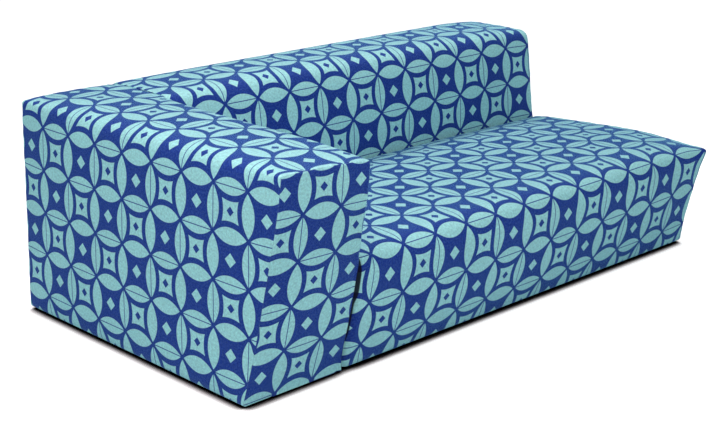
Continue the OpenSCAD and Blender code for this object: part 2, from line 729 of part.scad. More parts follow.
// A slab from a stretch of the covers' inner outline down to a straight line on the boards
function straight(a, b, n) = [for (i = [0 : n]) mix(a, b, i / n)];
arm_outer_at = 1 + foot_steps + arm_side_steps;
arm_inner_at = arm_outer_at + round_steps + arm_top_steps + foot_steps + 1;
arm_end_at = arm_inner_at + tuck_steps + 1;
seat_front_at = 1 + foot_steps + face_steps;
seat_rear_at = seat_front_at + round_steps + seat_top_steps + foot_steps;
back_front_at = face_steps + 1;
back_rear_at = back_front_at + 2 * round_steps + back_top_steps;
back_foot_at = back_rear_at + face_steps + foot_steps;

// Both ends of the straight line are given as [x, z], and each station finds their depth
module arm_slab(from, to, a, b) {
    stations = [1 : arm_last - 1];
    thick_sheet(
        [for (k = stations) slice(arm_section(k, skin, tuck_h), from, to)],
        [for (k = stations) straight(
            [a.x, arm_y(a.y, k, skin), a.y], [b.x, arm_y(b.y, k, skin), b.y], to - from)],
        flip = true);
}

module arm_outer_foam() {
    color("ivory") arm_slab(1, arm_outer_at,
        [arm_board_x0, floor_gap + skin], [arm_board_x0, board_z1]);
}

module arm_top_foam() {
    color("ivory") arm_slab(arm_outer_at, arm_inner_at,
        [arm_board_x0, board_z1], [arm_board_x1, board_z1]);
}

module arm_inner_foam() {
    color("ivory") arm_slab(arm_inner_at, arm_end_at,
        [arm_board_x1, board_z1], [arm_board_x1, tuck_h]);
}

module arm_front_foam() {
    color("ivory") panel(
        panel_rows(arm_section(0, skin, floor_gap + skin), [0, -panel_swell, 0]),
        panel_rows(arm_section(1, skin, floor_gap + skin), [0, 0, 0]));
}

module arm_rear_foam() {
    color("ivory") panel(
        panel_rows(arm_section(arm_last, skin, floor_gap + skin), [0, rear_swell, 0]),
        panel_rows(arm_section(arm_last - 1, skin, floor_gap + skin), [0, 0, 0]), flip = true);
}

// The ends of the straight line are given as [y, z]
module seat_slab(from, to, a, b) {
    stations = [0 : seat_last - 1];
    thick_sheet(
        [for (k = stations) slice(seat_section(k, skin, tuck_h), from, to)],
        [for (k = stations)
            let (x = seat_x(k, skin))
            straight([x, a.x, a.y], [x, b.x, b.y], to - from)]);
}

module seat_front_foam() {
    z0 = floor_gap + skin;
    z1 = core_z1 + soft_clear;
    color("ivory") seat_slab(1, seat_front_at,
        [front_board_y(z0), z0], [front_board_y(z1), z1]);
}

module seat_top_foam() {
    z1 = core_z1 + soft_clear;
    color("ivory") seat_slab(seat_front_at, seat_rear_at,
        [front_board_y(z1), z1], [seat_rear_y(z1) - skin / cos(back_angle), z1]);
}

module seat_core_foam() {
    color("khaki") side_plate(inner_x0, end_board_x - soft_clear, [
        [front_board_y(core_z0) + soft_clear, core_z0],
        [seat_rear_y(core_z0) - skin - soft_clear, core_z0],
        [seat_rear_y(core_z1) - skin - soft_clear, core_z1],
        [front_board_y(core_z1) + soft_clear, core_z1]]);
}

module seat_end_foam() {
    color("ivory") panel(
        panel_rows(seat_section(seat_last, skin, floor_gap + skin), [panel_swell, 0, 0]),
        panel_rows(seat_section(seat_last - 1, skin, floor_gap + skin), [0, 0, 0]));
}

module back_slab(from, to, a, b) {
    stations = [0 : back_last - 1];
    thick_sheet(
        [for (k = stations) slice(back_section(k, skin, tuck_h), from, to)],
        [for (k = stations)
            let (x = back_x(k, skin))
            straight([x, a.x, a.y], [x, b.x, b.y], to - from)]);
}

module back_front_foam() {
    color("ivory") back_slab(0, back_front_at,
        [back_foam_y(tuck_h), tuck_h], [back_foam_y(board_z1), board_z1]);
}

module back_top_foam() {
    color("ivory") back_slab(back_front_at, back_rear_at,
        [back_foam_y(board_z1), board_z1], [rear_board_y, board_z1]);
}

module back_rear_foam() {
    color("ivory") back_slab(back_rear_at, back_foot_at,
        [rear_board_y, board_z1], [rear_board_y, floor_gap + skin]);
}

module back_end_foam() {
    color("ivory") panel(
        panel_rows(back_section(back_last, skin, floor_gap + skin), [panel_swell, 0, 0]),
        panel_rows(back_section(back_last - 1, skin, floor_gap + skin), [0, 0, 0]));
}

// Covers

module arm_cover() {
    color("mediumturquoise") thick_sheet(
        [for (k = [0 : arm_last]) arm_section(k, 0, tuck_h)],
        [for (k = [0 : arm_last]) arm_section(k, cover_t, tuck_h)], flip = true);
}

module arm_cover_front() {
    push = [0, -panel_swell, 0];
    hem = [0, base_front_y + hem_lap - front_y(floor_gap), 0];
    color("royalblue") panel(
        hemmed(panel_rows(arm_section(0, 0, floor_gap), push), hem),
        hemmed(panel_rows(arm_section(0, cover_t, floor_gap + cover_t), push), hem));
}

module arm_cover_rear() {
    push = [0, rear_swell, 0];
    hem = [0, frame_rear_y - hem_lap - rear_y, 0];
    color("royalblue") panel(
        hemmed(panel_rows(arm_section(arm_last, 0, floor_gap), push), hem),
        hemmed(panel_rows(arm_section(arm_last, cover_t, floor_gap + cover_t), push), hem),
        flip = true);
}

module seat_cover() {
    color("mediumturquoise") thick_sheet(
        [for (k = [0 : seat_last]) seat_section(k, 0, tuck_h)],
        [for (k = [0 : seat_last]) seat_section(k, cover_t, tuck_h)]);
}

module seat_cover_end() {
    push = [panel_swell, 0, 0];
    hem = [frame_end_x - hem_lap - end_x, 0, 0];
    color("royalblue") panel(
        hemmed(panel_rows(seat_section(seat_last, 0, floor_gap), push), hem),
        hemmed(panel_rows(seat_section(seat_last, cover_t, floor_gap + cover_t), push), hem));
}

// The part of a section that is above the tuck, from its first side to its last
function above_tuck(section, start) =
    paired(concat([start], [for (p = section) if (p.z > start.z) p], [last(section)]));

module seat_cover_inner_end() {
    color("royalblue") panel(
        panel_rows(above_tuck(seat_section(0, 0, tuck_h),
            [seat_x0, front_y(tuck_h), tuck_h]), [0, 0, 0]),
        panel_rows(above_tuck(seat_section(0, cover_t, tuck_h),
            [seat_x0 + cover_t, front_y(tuck_h) + cover_t / cos(front_lean), tuck_h]), [0, 0, 0]),
        flip = true);
}

module back_cover() {
    color("mediumturquoise") thick_sheet(
        [for (k = [0 : back_last]) back_section(k, 0, tuck_h)],
        [for (k = [0 : back_last]) back_section(k, cover_t, tuck_h)]);
}

module back_cover_end() {
    push = [panel_swell, 0, 0];
    hem = [frame_end_x - hem_lap - end_x, 0, 0];
    color("royalblue") panel(
        hemmed(panel_rows(back_section(back_last, 0, floor_gap), push), hem),
        hemmed(panel_rows(back_section(back_last, cover_t, floor_gap + cover_t), push), hem));
}

module back_cover_inner_end() {
    color("royalblue") panel(
        panel_rows(back_above_tuck(0, seat_x0), [0, 0, 0]),
        panel_rows(back_above_tuck(cover_t, seat_x0 + cover_t), [0, 0, 0]), flip = true);
}

function back_above_tuck(d, x) =
    let (section = back_section(0, d, tuck_h))
    paired(concat([section[0]], [for (p = section) if (p.z > tuck_h) p], [[x, rear_y - d, tuck_h]]));

// Under the frame

// A strip round three sides of a frame's underside, open towards the joint
module hem_tape(x0, x1, open_x) {
    inner_x = x0 == open_x ? [x0 - cut, x1 - hem_lap] : [x0 + hem_lap, x1 + cut];
    translate([0, 0, frame_z0 - tape_t]) difference() {
        translate([x0, base_front_y, 0]) cube([x1 - x0, frame_rear_y - base_front_y, tape_t]);
        translate([inner_x[0], base_front_y + hem_lap, -cut])
            cube([inner_x[1] - inner_x[0], frame_rear_y - base_front_y - 2 * hem_lap, tape_t + 2 * cut]);
    }
}

module arm_hem_tape() {
    color("black") hem_tape(arm_frame_x0, joint_x, joint_x);
}

module base_hem_tape() {
    color("black") hem_tape(joint_x, frame_end_x, joint_x);
}

module dust_cloth(x0, x1, holes) {
    y0 = base_front_y + hem_lap + unit_gap;
    y1 = frame_rear_y - hem_lap - unit_gap;
    difference() {
        translate([x0, y0, frame_z0 - dust_t]) cube([x1 - x0, y1 - y0, dust_t]);
        for (p = holes) translate([p.x, p.y, frame_z0 - dust_t - cut])
            cylinder(h = dust_t + 2 * cut, r = screw_r + hole_clear);
    }
}

arm_glide_places = [for (y = [front_cross_y, rear_cross_y]) [arm_glide_x, y]];
base_glide_places = [for (y = [front_cross_y, rear_cross_y], x = cross_xs) [x, y]];

module arm_dust_cloth() {
    color("black") dust_cloth(arm_frame_x0 + hem_lap + unit_gap, arm_in_x, arm_glide_places);
}

module base_dust_cloth() {
    color("black") dust_cloth(seat_x0, frame_end_x - hem_lap - unit_gap, base_glide_places);
}

// A round glide with a chamfered foot and a sunk hole for its screw
module glide(place) {
    sink_r = screw_r * 2;
    sink_h = glide_top / 3;
    color("black") translate([place.x, place.y, 0]) rotate_extrude() polygon([
        [sink_r, 0], [glide_r - glide_chamfer, 0], [glide_r, glide_chamfer], [glide_r, glide_top],
        [screw_r + hole_clear, glide_top], [screw_r + hole_clear, 2 * sink_h], [sink_r, sink_h]]);
}

module glide_screws() {
    sink_h = glide_top / 3;
    color("gray") for (p = concat(arm_glide_places, base_glide_places))
        translate([p.x, p.y, 0]) rotate_extrude() polygon([
            [0, sink_h], [2 * screw_r - hole_clear, sink_h], [screw_r, 2 * sink_h],
            [screw_r, sink_h + screw_l], [0, sink_h + screw_l]]);
}

module arm_front_glide() { glide(arm_glide_places[0]); }
module arm_rear_glide() { glide(arm_glide_places[1]); }
module front_left_glide() { glide(base_glide_places[0]); }
module front_middle_glide() { glide(base_glide_places[1]); }
module front_right_glide() { glide(base_glide_places[2]); }
module rear_left_glide() { glide(base_glide_places[3]); }
module rear_middle_glide() { glide(base_glide_places[4]); }
module rear_right_glide() { glide(base_glide_places[5]); }

arm_frame();
base_frame();
back_frame();
arm_joint_bolts();
arm_joint_nuts();
back_joint_bolts();
back_joint_nuts();
seat_straps();
seat_strap_bars();
seat_strap_screws();
back_straps();
back_strap_bars();
back_strap_screws();
arm_outer_board();
arm_inner_board();
arm_top_board();
arm_front_board();
arm_rear_board();
seat_front_board();
seat_end_board();
back_rear_board();
back_top_board();
back_end_board();
arm_outer_foam();
arm_inner_foam();
arm_top_foam();
arm_front_foam();
arm_rear_foam();
seat_core_foam();
seat_top_foam();
seat_front_foam();
seat_end_foam();
back_front_foam();
back_top_foam();
back_rear_foam();
back_end_foam();
arm_cover();
arm_cover_front();
arm_cover_rear();
seat_cover();
seat_cover_end();
seat_cover_inner_end();
back_cover();
back_cover_end();
back_cover_inner_end();
arm_hem_tape();
base_hem_tape();
arm_dust_cloth();
base_dust_cloth();
arm_front_glide();
arm_rear_glide();
front_left_glide();
front_middle_glide();
front_right_glide();
rear_left_glide();
rear_middle_glide();
rear_right_glide();
glide_screws();
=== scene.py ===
import json
import math

import bpy
import numpy as np
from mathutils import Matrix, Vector, kdtree, noise


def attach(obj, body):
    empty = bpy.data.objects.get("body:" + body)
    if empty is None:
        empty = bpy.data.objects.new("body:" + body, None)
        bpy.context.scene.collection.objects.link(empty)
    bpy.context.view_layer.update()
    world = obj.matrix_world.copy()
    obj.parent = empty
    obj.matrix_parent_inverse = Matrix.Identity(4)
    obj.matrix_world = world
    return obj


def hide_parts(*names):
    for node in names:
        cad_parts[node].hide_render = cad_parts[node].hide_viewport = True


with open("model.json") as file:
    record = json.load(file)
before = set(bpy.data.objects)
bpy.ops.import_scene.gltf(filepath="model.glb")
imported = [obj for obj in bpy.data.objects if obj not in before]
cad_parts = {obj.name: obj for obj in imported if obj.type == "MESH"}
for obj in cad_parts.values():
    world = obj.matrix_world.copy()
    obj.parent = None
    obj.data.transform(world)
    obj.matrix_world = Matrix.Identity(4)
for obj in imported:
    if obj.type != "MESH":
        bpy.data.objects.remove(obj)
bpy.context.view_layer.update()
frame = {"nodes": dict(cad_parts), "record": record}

# Sizes of the sofa, in metres: +X runs from the arm to the open end, -Y is the front
DEPTH = 1.200
EDGE_H, SEAT_H, FOOT_H = 0.680, 0.350, 0.015
REAR_Y, END_X = 0.594, 1.022
UNDERCUT = 0.140
UNIT_GAP = 0.0006

# The arm: its splayed side, its round top edges, its droop at the front and its dip at the rear
ARM_TOP_X, ARM_IN_X = -1.000, -0.6803
ARM_SPLAY, ARM_TILT = 0.030, 0.006
ARM_OUTER_ROUND, ARM_INNER_ROUND = 0.032, 0.028
ARM_CORNER_ROUND, ARM_CORNER_L = 0.012, 0.130
ARM_BACK_ROUND = 0.003
ARM_SWELL = 0.007
ARM_DROOP, ARM_DROOP_L = 0.016, 0.240
REAR_DIP, REAR_DIP_X, REAR_DIP_Y = 0.010, 0.16, 0.035

# The seat: its crown, its round front edge, and how that edge rises
SEAT_X0 = -0.6797
SEAT_CROWN, SEAT_END_CROWN, SEAT_CROWN_POWER = 0.028, 0.020, 2.4
SEAT_ROUND, SEAT_CORNER_ROUND, SEAT_CORNER_L = 0.042, 0.014, 0.130
SEAT_REAR_ROUND = 0.020
SEAT_SWELL = 0.007
EDGE_RISE, EDGE_RISE_SHARE, EDGE_RISE_END = 0.020, 0.6, 0.05

# The back: its lean, its round top edges and its droop at the open end
BACK_T, BACK_LEAN = 0.320, 0.037
BACK_ROUND = 0.037
BACK_SWELL, REAR_SWELL = 0.009, 0.006
BACK_EDGE_DROP = 0.002
BACK_DROOP, BACK_DROOP_L = 0.010, 0.220

# The tops' crown, which starts this high over the foot and at this share of a side's height, and
# the swell of the sewn-in panels
TOP_CROWN, END_CROWN = 0.010, 0.003
CROWN_FROM, CROWN_FROM_SHARE = 0.1, 0.45
PANEL_SWELL = 0.008

# The underside: the hems' inner edges, and the recess between them
ARM_HEM_X = -0.923
FRONT_HEM_Y, REAR_HEM_Y = -0.389, 0.532
END_HEM_X = 0.953
RECESS_H = 0.0215
FOOT_ROUND = 0.010
HEM_STEP = 0.001
HEM_DROP, HEM_DROP_H = 0.008, 0.06

# How the stuffing shifts the plain shapes. The fronts push forward: the arm's over a reach behind
# it, and the seat's over a share of its top, less towards a place near the open end
FRONT_PUSH, FRONT_REACH = 0.014, 0.20
FRONT_SHARE = 1 / 3
SEAT_PUSH_END, SEAT_PUSH_RUN = 0.9, 1.3

# The arm's joint with the seat moves sideways, most at its foot, and less behind and above it
JOINT_PUSH, JOINT_FOOT, JOINT_FOOT_POWER = 0.006, 0.019, 10
JOINT_OVER, JOINT_DEPTH = 0.10, 0.20
JOINT_ARM_POWER, JOINT_SEAT_W = 4, 0.10

# The seat's free front corner is pulled out
EAR, EAR_REACH = (0.010, -0.010, 0.006), 0.045

# The long top edge of the arm and the back rises and falls along the sofa
CREST_X = (-1.00, -0.85, -0.70, -0.30, 0.20, 0.60, 1.02)
CREST_LIFT = (-0.004, 0.000, 0.006, 0.005, 0.001, -0.002, -0.004)

# The seat's open end gives way: its front by height, and its top by shares of the depth
END_Z = (0.015, 0.10, 0.20, 0.28, 0.35)
END_PUSH = (-0.006, -0.012, -0.002, 0.007, 0.000)
END_ACROSS_SHARES = (0.0, 0.10, 0.30, 0.50, 0.70, 1.0)
END_LIFT = (0.003, 0.0075, 0.0075, 0.002, -0.005, -0.006)
END_PUSH_REACH, END_LIFT_REACH = 0.12, 0.30

# The crease where the seat's front meets the arm
ARM_CREASE, ARM_CREASE_W = 0.006, 0.004
ARM_CREASE_OVER, ARM_CREASE_FADE = 0.02, 0.03
SEAT_CREASE, SEAT_CREASE_W = 0.034, 0.013
CREASE_CUTS = (0.016, 0.023)

# What sewing leaves in the cloth: valleys with low rolls beside them, and puckers
SEAM_DEPTH, SEAM_W = 0.0020, 0.0024
SEAM_SWELL, SEAM_SWELL_AT, SEAM_SWELL_W = 0.0006, 0.008, 0.005
PUCKER, PUCKER_REACH, PUCKER_SCALE = 0.0018, 0.045, 38

# What hands leave in it: unevenness and ripples, none by the foot, and wear by the seams and the foot
UNEVEN, UNEVEN_SCALE = 0.0012, 4.5
RIPPLE_SHARE, RIPPLE_SCALE = 0.3, 17
CALM_H = 0.02
SEAM_WEAR_W, FOOT_WEAR_W = 0.003, 0.010

# The narrow cells beside a seam, the points on an edge that gaps are measured from, how sharp the
# hems' edges stay, the least gap of cloth that a neighbour hides, and the angle that shades smooth
SEAM_ROLL = 0.003
SEAM_POINTS = 9
HEM_SHARPNESS = 0.6
HIDDEN_GAP = 0.01
SMOOTH_ANGLE = 50

# Where a block leans on its neighbour, and how soon past that its cloth is free
TOUCH_DEPTH, TOUCH_RUN = 0.012, 0.02
FREE_RUN, BACK_FREE_BELOW = 0.03, 0.01

# The cells of the cloth, its runs over each block, and the steps of the round edges
CELL = 0.014
ARM_TOP_L, SEAT_TOP_L, BACK_TOP_L = 0.36, 0.82, 0.34
SIDE_L, SEAT_SIDE_L = 0.68, 0.36
FOOT_STEPS, EDGE_STEPS, ARM_INNER_STEPS, SEAT_REAR_STEPS = 4, 12, 8, 6
FILL_PRESSURE, FILL_CAP, FILL_FRAMES = 0.12, 0.005, 20
TINY = 1e-9


def mix(a, b, t):
    return a + (b - a) * t


def unit(t):
    return np.clip(t, 0, 1)


def bow(t):
    """0 at both ends of a run and 1 in the middle."""
    t = unit(t)
    return 4 * t * (1 - t)


def plateau(t, power=4):
    """0 at both ends of a run, and close to 1 over most of it."""
    return 1 - np.abs(2 * unit(t) - 1) ** power


def fade(run, reach):
    """1 at the start of a run, and next to nothing past its reach."""
    return np.exp(-(run / reach) ** 2)


def share_up(z, top):
    """How far up a height lies, from the foot to the top."""
    return (z - FOOT_H) / (top - FOOT_H)


def near_top(rise):
    """0 on the lower part of a side, and 1 by its top."""
    return unit(2 * rise - 2 * CROWN_FROM_SHARE)


def crowned(z, lift):
    """Heights with their lift, which leaves the foot where it is."""
    return z + np.where(z > FOOT_H + CROWN_FROM, lift, 0)


def front_y(z):
    return UNDERCUT * (EDGE_H - z) / (EDGE_H - FOOT_H) - DEPTH / 2


def arm_side_x(z):
    return ARM_TOP_X - ARM_SPLAY * (EDGE_H - z) / (EDGE_H - FOOT_H)


def back_y(z):
    return DEPTH / 2 - BACK_T - BACK_LEAN * (EDGE_H - z) / (EDGE_H - SEAT_H)


def angle_of(lean, height):
    """The angle of a leaning side, in degrees from upright."""
    return math.degrees(math.atan(lean / height))


SPLAY_ANGLE = angle_of(ARM_SPLAY, EDGE_H - FOOT_H)
FRONT_ANGLE = angle_of(UNDERCUT, EDGE_H - FOOT_H)
BACK_ANGLE = angle_of(BACK_LEAN, EDGE_H - SEAT_H)


def off_slope(radius, angle):
    """How far from a leaning side, on the level, the centre of its round edge lies."""
    return radius / math.cos(math.radians(angle))


def edge_round(corner_r, full_r, run, reach):
    """Radius of a top edge, which tightens towards its sewn end."""
    near = unit(run / reach)
    return mix(corner_r, full_r, near * (2 - near))


def joint_push(y, z):
    """How far the stuffing moves the arm's joint with the seat sideways: at the front, and most
    at the foot."""
    rise = share_up(z, EDGE_H)
    push = JOINT_PUSH * plateau(rise) * unit((SEAT_H + JOINT_OVER - z) / JOINT_OVER)
    foot = JOINT_FOOT * unit(1 - 2 * rise) ** JOINT_FOOT_POWER
    return (push + foot) * fade(y - front_y(z), JOINT_DEPTH)


# Blanks: a cube cut into cells, which is then laid round a block's outline


def arc(centre, radius, start, end, steps):
    """Points on an arc of a cross-section, with the angles in degrees."""
    angles = np.radians(np.linspace(start, end, steps + 1))
    return [(centre[0] + radius * math.cos(a), centre[1] + radius * math.sin(a)) for a in angles]


def halves(line):
    """A round edge in two halves, which share its middle point."""
    middle = len(line) // 2
    return line[:middle + 1], line[middle:]


def cuts(length, step, marks=()):
    """Places of the cuts along a run: narrow beside the seams and at the marks, even between."""
    near = [SEAM_ROLL, 3 * SEAM_ROLL]
    stops = sorted({0, *near, *marks, *[length - n for n in near], length})
    places = []
    for a, b in zip(stops, stops[1:]):
        n = max(1, round((b - a) / step))
        places += [mix(a, b, i / n) for i in range(n)]
    return np.array(places + [length])


def cut_shares(length):
    """The cuts along a run of cloth, as shares of it."""
    return cuts(length, CELL) / length


def run_length(line):
    return float(np.linalg.norm(np.diff(np.array(line), axis=0), axis=1).sum())


def resample(line, shares):
    """Points on a broken line, at shares of its length."""
    line = np.array(line, float)
    at = np.concatenate([[0], np.cumsum(np.linalg.norm(np.diff(line, axis=0), axis=1))])
    return np.stack([np.interp(np.asarray(shares) * at[-1], at, line[:, i]) for i in (0, 1)], axis=-1)


def patch(left, top, right, bottom):
    """A grid of points between four sides, [across][up]."""
    a = np.linspace(0, 1, len(top))[:, None, None]
    b = np.linspace(0, 1, len(left))[None, :, None]
    return (
        (1 - a) * left[None] + a * right[None] + (1 - b) * bottom[:, None] + b * top[:, None]
        - (1 - a) * (1 - b) * bottom[0] - a * (1 - b) * bottom[-1]
        - (1 - a) * b * top[0] - a * b * top[-1]
    )


def select_only(piece):
    bpy.ops.object.select_all(action="DESELECT")
    piece.select_set(True)
    bpy.context.view_layer.objects.active = piece


def cut_cube(name, cells):
    """A cube of side 1, cut into cells across, along and up, and the index of each of its points."""
    bpy.ops.object.select_all(action="DESELECT")
    bpy.ops.mesh.primitive_cube_add(size=1, location=(0.5, 0.5, 0.5))
    piece = bpy.context.object
    piece.name = piece.data.name = name
    bpy.ops.object.transform_apply(location=True, rotation=False, scale=False)
    for axis, count in enumerate(cells):
        mesh = piece.data
        co = np.array([v.co for v in mesh.vertices])
        select_only(piece)
        bpy.ops.object.mode_set(mode="EDIT")
        bpy.ops.mesh.select_mode(type="EDGE")
        bpy.ops.mesh.select_all(action="DESELECT")
        bpy.ops.object.mode_set(mode="OBJECT")
        for edge in mesh.edges:
            a, b = edge.vertices
            edge.select = bool(abs(co[a][axis] - co[b][axis]) > 0.5)
        bpy.ops.object.mode_set(mode="EDIT")
        bpy.ops.mesh.subdivide(number_cuts=count - 1, smoothness=0)
        bpy.ops.object.mode_set(mode="OBJECT")
    co = np.array([v.co for v in piece.data.vertices])
    return piece, np.rint(co * np.array(cells)).astype(int)


def lay_cloth(mesh, marks, flat, laid, shares, lengths, phase):
    """Writes the cloth's own coordinates, in metres: along the block, and round its outline. Each
    end panel lies flat, moved by its phase."""
    last_i, last_j, last_k = marks["last"]
    a, b = shares
    left_l, top_l, right_l = lengths
    corners = np.zeros(len(mesh.loops), int)
    mesh.loops.foreach_get("vertex_index", corners)
    corners = corners.reshape(-1, 4)
    ci, cj, ck = (marks[axis][corners] for axis in "ijk")
    uv = np.zeros(corners.shape + (2,))
    uv[..., 0] = laid[corners]
    round_by = [
        (np.all(cj == 0, 1), b[corners] * left_l),
        (np.all(ck == last_k, 1), left_l + a[corners] * top_l),
        (np.all(cj == last_j, 1), left_l + top_l + (1 - b[corners]) * right_l),
        (np.all(ck == 0, 1), -a[corners] * top_l),
    ]
    for there, v in round_by:
        uv[there, :, 1] = v[there]
    for n, there in enumerate([np.all(ci == 0, 1), np.all(ci == last_i, 1)]):
        uv[there] = flat[corners][there] + phase[n]
    mesh.uv_layers.new(name="cloth")
    for name in [layer.name for layer in mesh.uv_layers if layer.name != "cloth"]:
        mesh.uv_layers.remove(mesh.uv_layers[name])
    mesh.uv_layers["cloth"].data.foreach_set("uv", uv.astype(np.float32).ravel())


def lay_block(name, along, across, up, sides, place, phase):
    """A closed padded block. along has the places of the stations; across and up are shares of the
    top and of the sides; sides(s) gives the outline at a place; place(p, z, s, ...) bends it into shape."""
    piece, index = cut_cube(name, (len(across) - 1, len(along) - 1, len(up) - 1))
    j, i, k = index.T
    grid = []
    for s in along:
        left, top, right, bottom = sides(s)
        grid.append(patch(resample(left, up), resample(top, across), resample(right, up), bottom))
        if s <= along[len(along) // 2]:
            lengths = [run_length(side) for side in (left, top, right)]
    flat = np.array(grid)[i, j, k]
    last = (len(along) - 1, len(across) - 1, len(up) - 1)
    end = np.where(i == 0, -1, np.where(i == last[0], 1, 0))
    inner = (j > 0) & (j < last[1]) & (k > 0) & (k < last[2])
    marks = {"i": i, "j": j, "k": k, "end": end, "inner": inner, "last": last}
    a, b = across[j], up[k]
    laid, real = place(flat[:, 0], flat[:, 1], along[i], a, b, end)
    piece.data.vertices.foreach_set("co", real.ravel())
    lay_cloth(piece.data, marks, flat, laid, (a, b), lengths, phase)
    return piece, marks


def seam_edges(mesh, marks):
    """The two points of each edge, and which edges are sewn, along the end panels."""
    ends = np.zeros(len(mesh.edges) * 2, int)
    mesh.edges.foreach_get("vertices", ends)
    ends = ends.reshape(-1, 2)
    ring = (marks["end"] != 0) & ~marks["inner"]
    return ends, ring[ends].all(1) & (marks["k"][ends] > 0).any(1)


def sew(piece, marks):
    """Creases the sewn edges, and the hems' edges a little."""
    mesh = piece.data
    select_only(piece)
    bpy.ops.object.mode_set(mode="EDIT")
    bpy.ops.mesh.select_all(action="SELECT")
    bpy.ops.mesh.normals_make_consistent(inside=False)
    bpy.ops.object.mode_set(mode="OBJECT")
    ends, sewn = seam_edges(mesh, marks)
    low = (marks["k"][ends] == 0).all(1)
    crease = np.where(sewn, 1.0, np.where(low, HEM_SHARPNESS, 0.0)).astype(np.float32)
    mesh.attributes.new("crease_edge", "FLOAT", "EDGE").data.foreach_set("value", crease)


# Filling, rounding off and handling the cloth


def points_of(mesh):
    """The places of a mesh's points."""
    places = np.zeros(len(mesh.vertices) * 3, np.float32)
    mesh.vertices.foreach_get("co", places)
    return places.reshape(-1, 3)


def normals_of(mesh):
    """The way that each of a mesh's points faces."""
    ways = np.zeros(len(mesh.vertices) * 3, np.float32)
    mesh.vertex_normals.foreach_get("vector", ways)
    return ways.reshape(-1, 3)


def move_points(mesh, places):
    mesh.vertices.foreach_set("co", places.astype(np.float32).ravel())
    mesh.update()


def mark_points(mesh, name, values):
    mesh.attributes.new(name, "FLOAT", "POINT").data.foreach_set("value", values.astype(np.float32))


def ring_points(piece, marks):
    """Points close together along the sewn edges, to measure from."""
    co = points_of(piece.data)
    ends, sewn = seam_edges(piece.data, marks)
    ends = ends[sewn]
    shares = np.linspace(0, 1, SEAM_POINTS)[:, None, None]
    return (co[ends[:, 0]] * (1 - shares) + co[ends[:, 1]] * shares).reshape(-1, 3)


def held_points(marks, free):
    """The points that the filling doesn't move: beside the seams, underneath and where blocks touch."""
    last_i, last_j, last_k = marks["last"]
    i, j, k, inner = marks["i"], marks["j"], marks["k"], marks["inner"]
    beside = (np.minimum(i, last_i - i) <= 1) & ~inner
    rim = inner & ((np.minimum(j, last_j - j) <= 1) | (np.minimum(k, last_k - k) <= 1))
    return beside | rim | (k <= 1) | (free < 0.5)


def fill_out(piece, held, free):
    """Fills the cloth out with Blender's own cloth simulation and limits how far a point moves."""
    mesh = piece.data
    start = points_of(mesh).astype(float)
    group = piece.vertex_groups.new(name="held")
    group.add([int(n) for n in np.flatnonzero(held)], 1.0, "REPLACE")
    cloth = piece.modifiers.new("cloth", "CLOTH")
    cloth.settings.quality = 4
    cloth.settings.mass = 0.3
    cloth.settings.tension_stiffness = cloth.settings.compression_stiffness = 15
    cloth.settings.shear_stiffness = 8
    cloth.settings.bending_stiffness = 0.6
    cloth.settings.use_pressure = True
    cloth.settings.uniform_pressure_force = FILL_PRESSURE
    cloth.settings.vertex_group_mass = "held"
    cloth.settings.effector_weights.gravity = 0
    cloth.collision_settings.use_collision = False
    cloth.point_cache.frame_start, cloth.point_cache.frame_end = 1, FILL_FRAMES
    for f in range(1, FILL_FRAMES + 1):
        bpy.context.scene.frame_set(f)
    filled = piece.evaluated_get(bpy.context.evaluated_depsgraph_get())
    step = points_of(filled.data).astype(float) - start
    size = np.linalg.norm(step, axis=1)[:, None]
    step *= FILL_CAP * np.tanh(size / FILL_CAP) / np.maximum(size, TINY) * free[:, None]
    piece.modifiers.remove(cloth)
    piece.vertex_groups.remove(group)
    bpy.context.scene.frame_set(1)
    move_points(mesh, start + step)


def finish_cloth(piece):
    """Rounds the cells off and shades the cloth smooth but for its sewn edges."""
    select_only(piece)
    smooth = piece.modifiers.new("smooth", "SUBSURF")
    smooth.levels = smooth.render_levels = 1
    bpy.ops.object.modifier_apply(modifier=smooth.name)
    bpy.ops.object.shade_smooth_by_angle(angle=math.radians(SMOOTH_ANGLE))


def shown_side(piece, co):
    """0 where a block leans on its neighbour, and 1 where its cloth is free."""
    x, y, z = co.T
    if piece is arm:
        free = unit((z - SEAT_H) / FREE_RUN) * unit((back_y(z) - y) / FREE_RUN)
        return np.where(x > ARM_IN_X - TOUCH_DEPTH, free, 1)
    beside_arm = unit((x - SEAT_X0) / TOUCH_RUN)
    if piece is seat:
        return beside_arm * unit((back_y(z) - y) / TOUCH_RUN)
    free = unit((z - SEAT_H + BACK_FREE_BELOW) / FREE_RUN)
    return beside_arm * np.where(y < back_y(z) + TOUCH_DEPTH, free, 1)


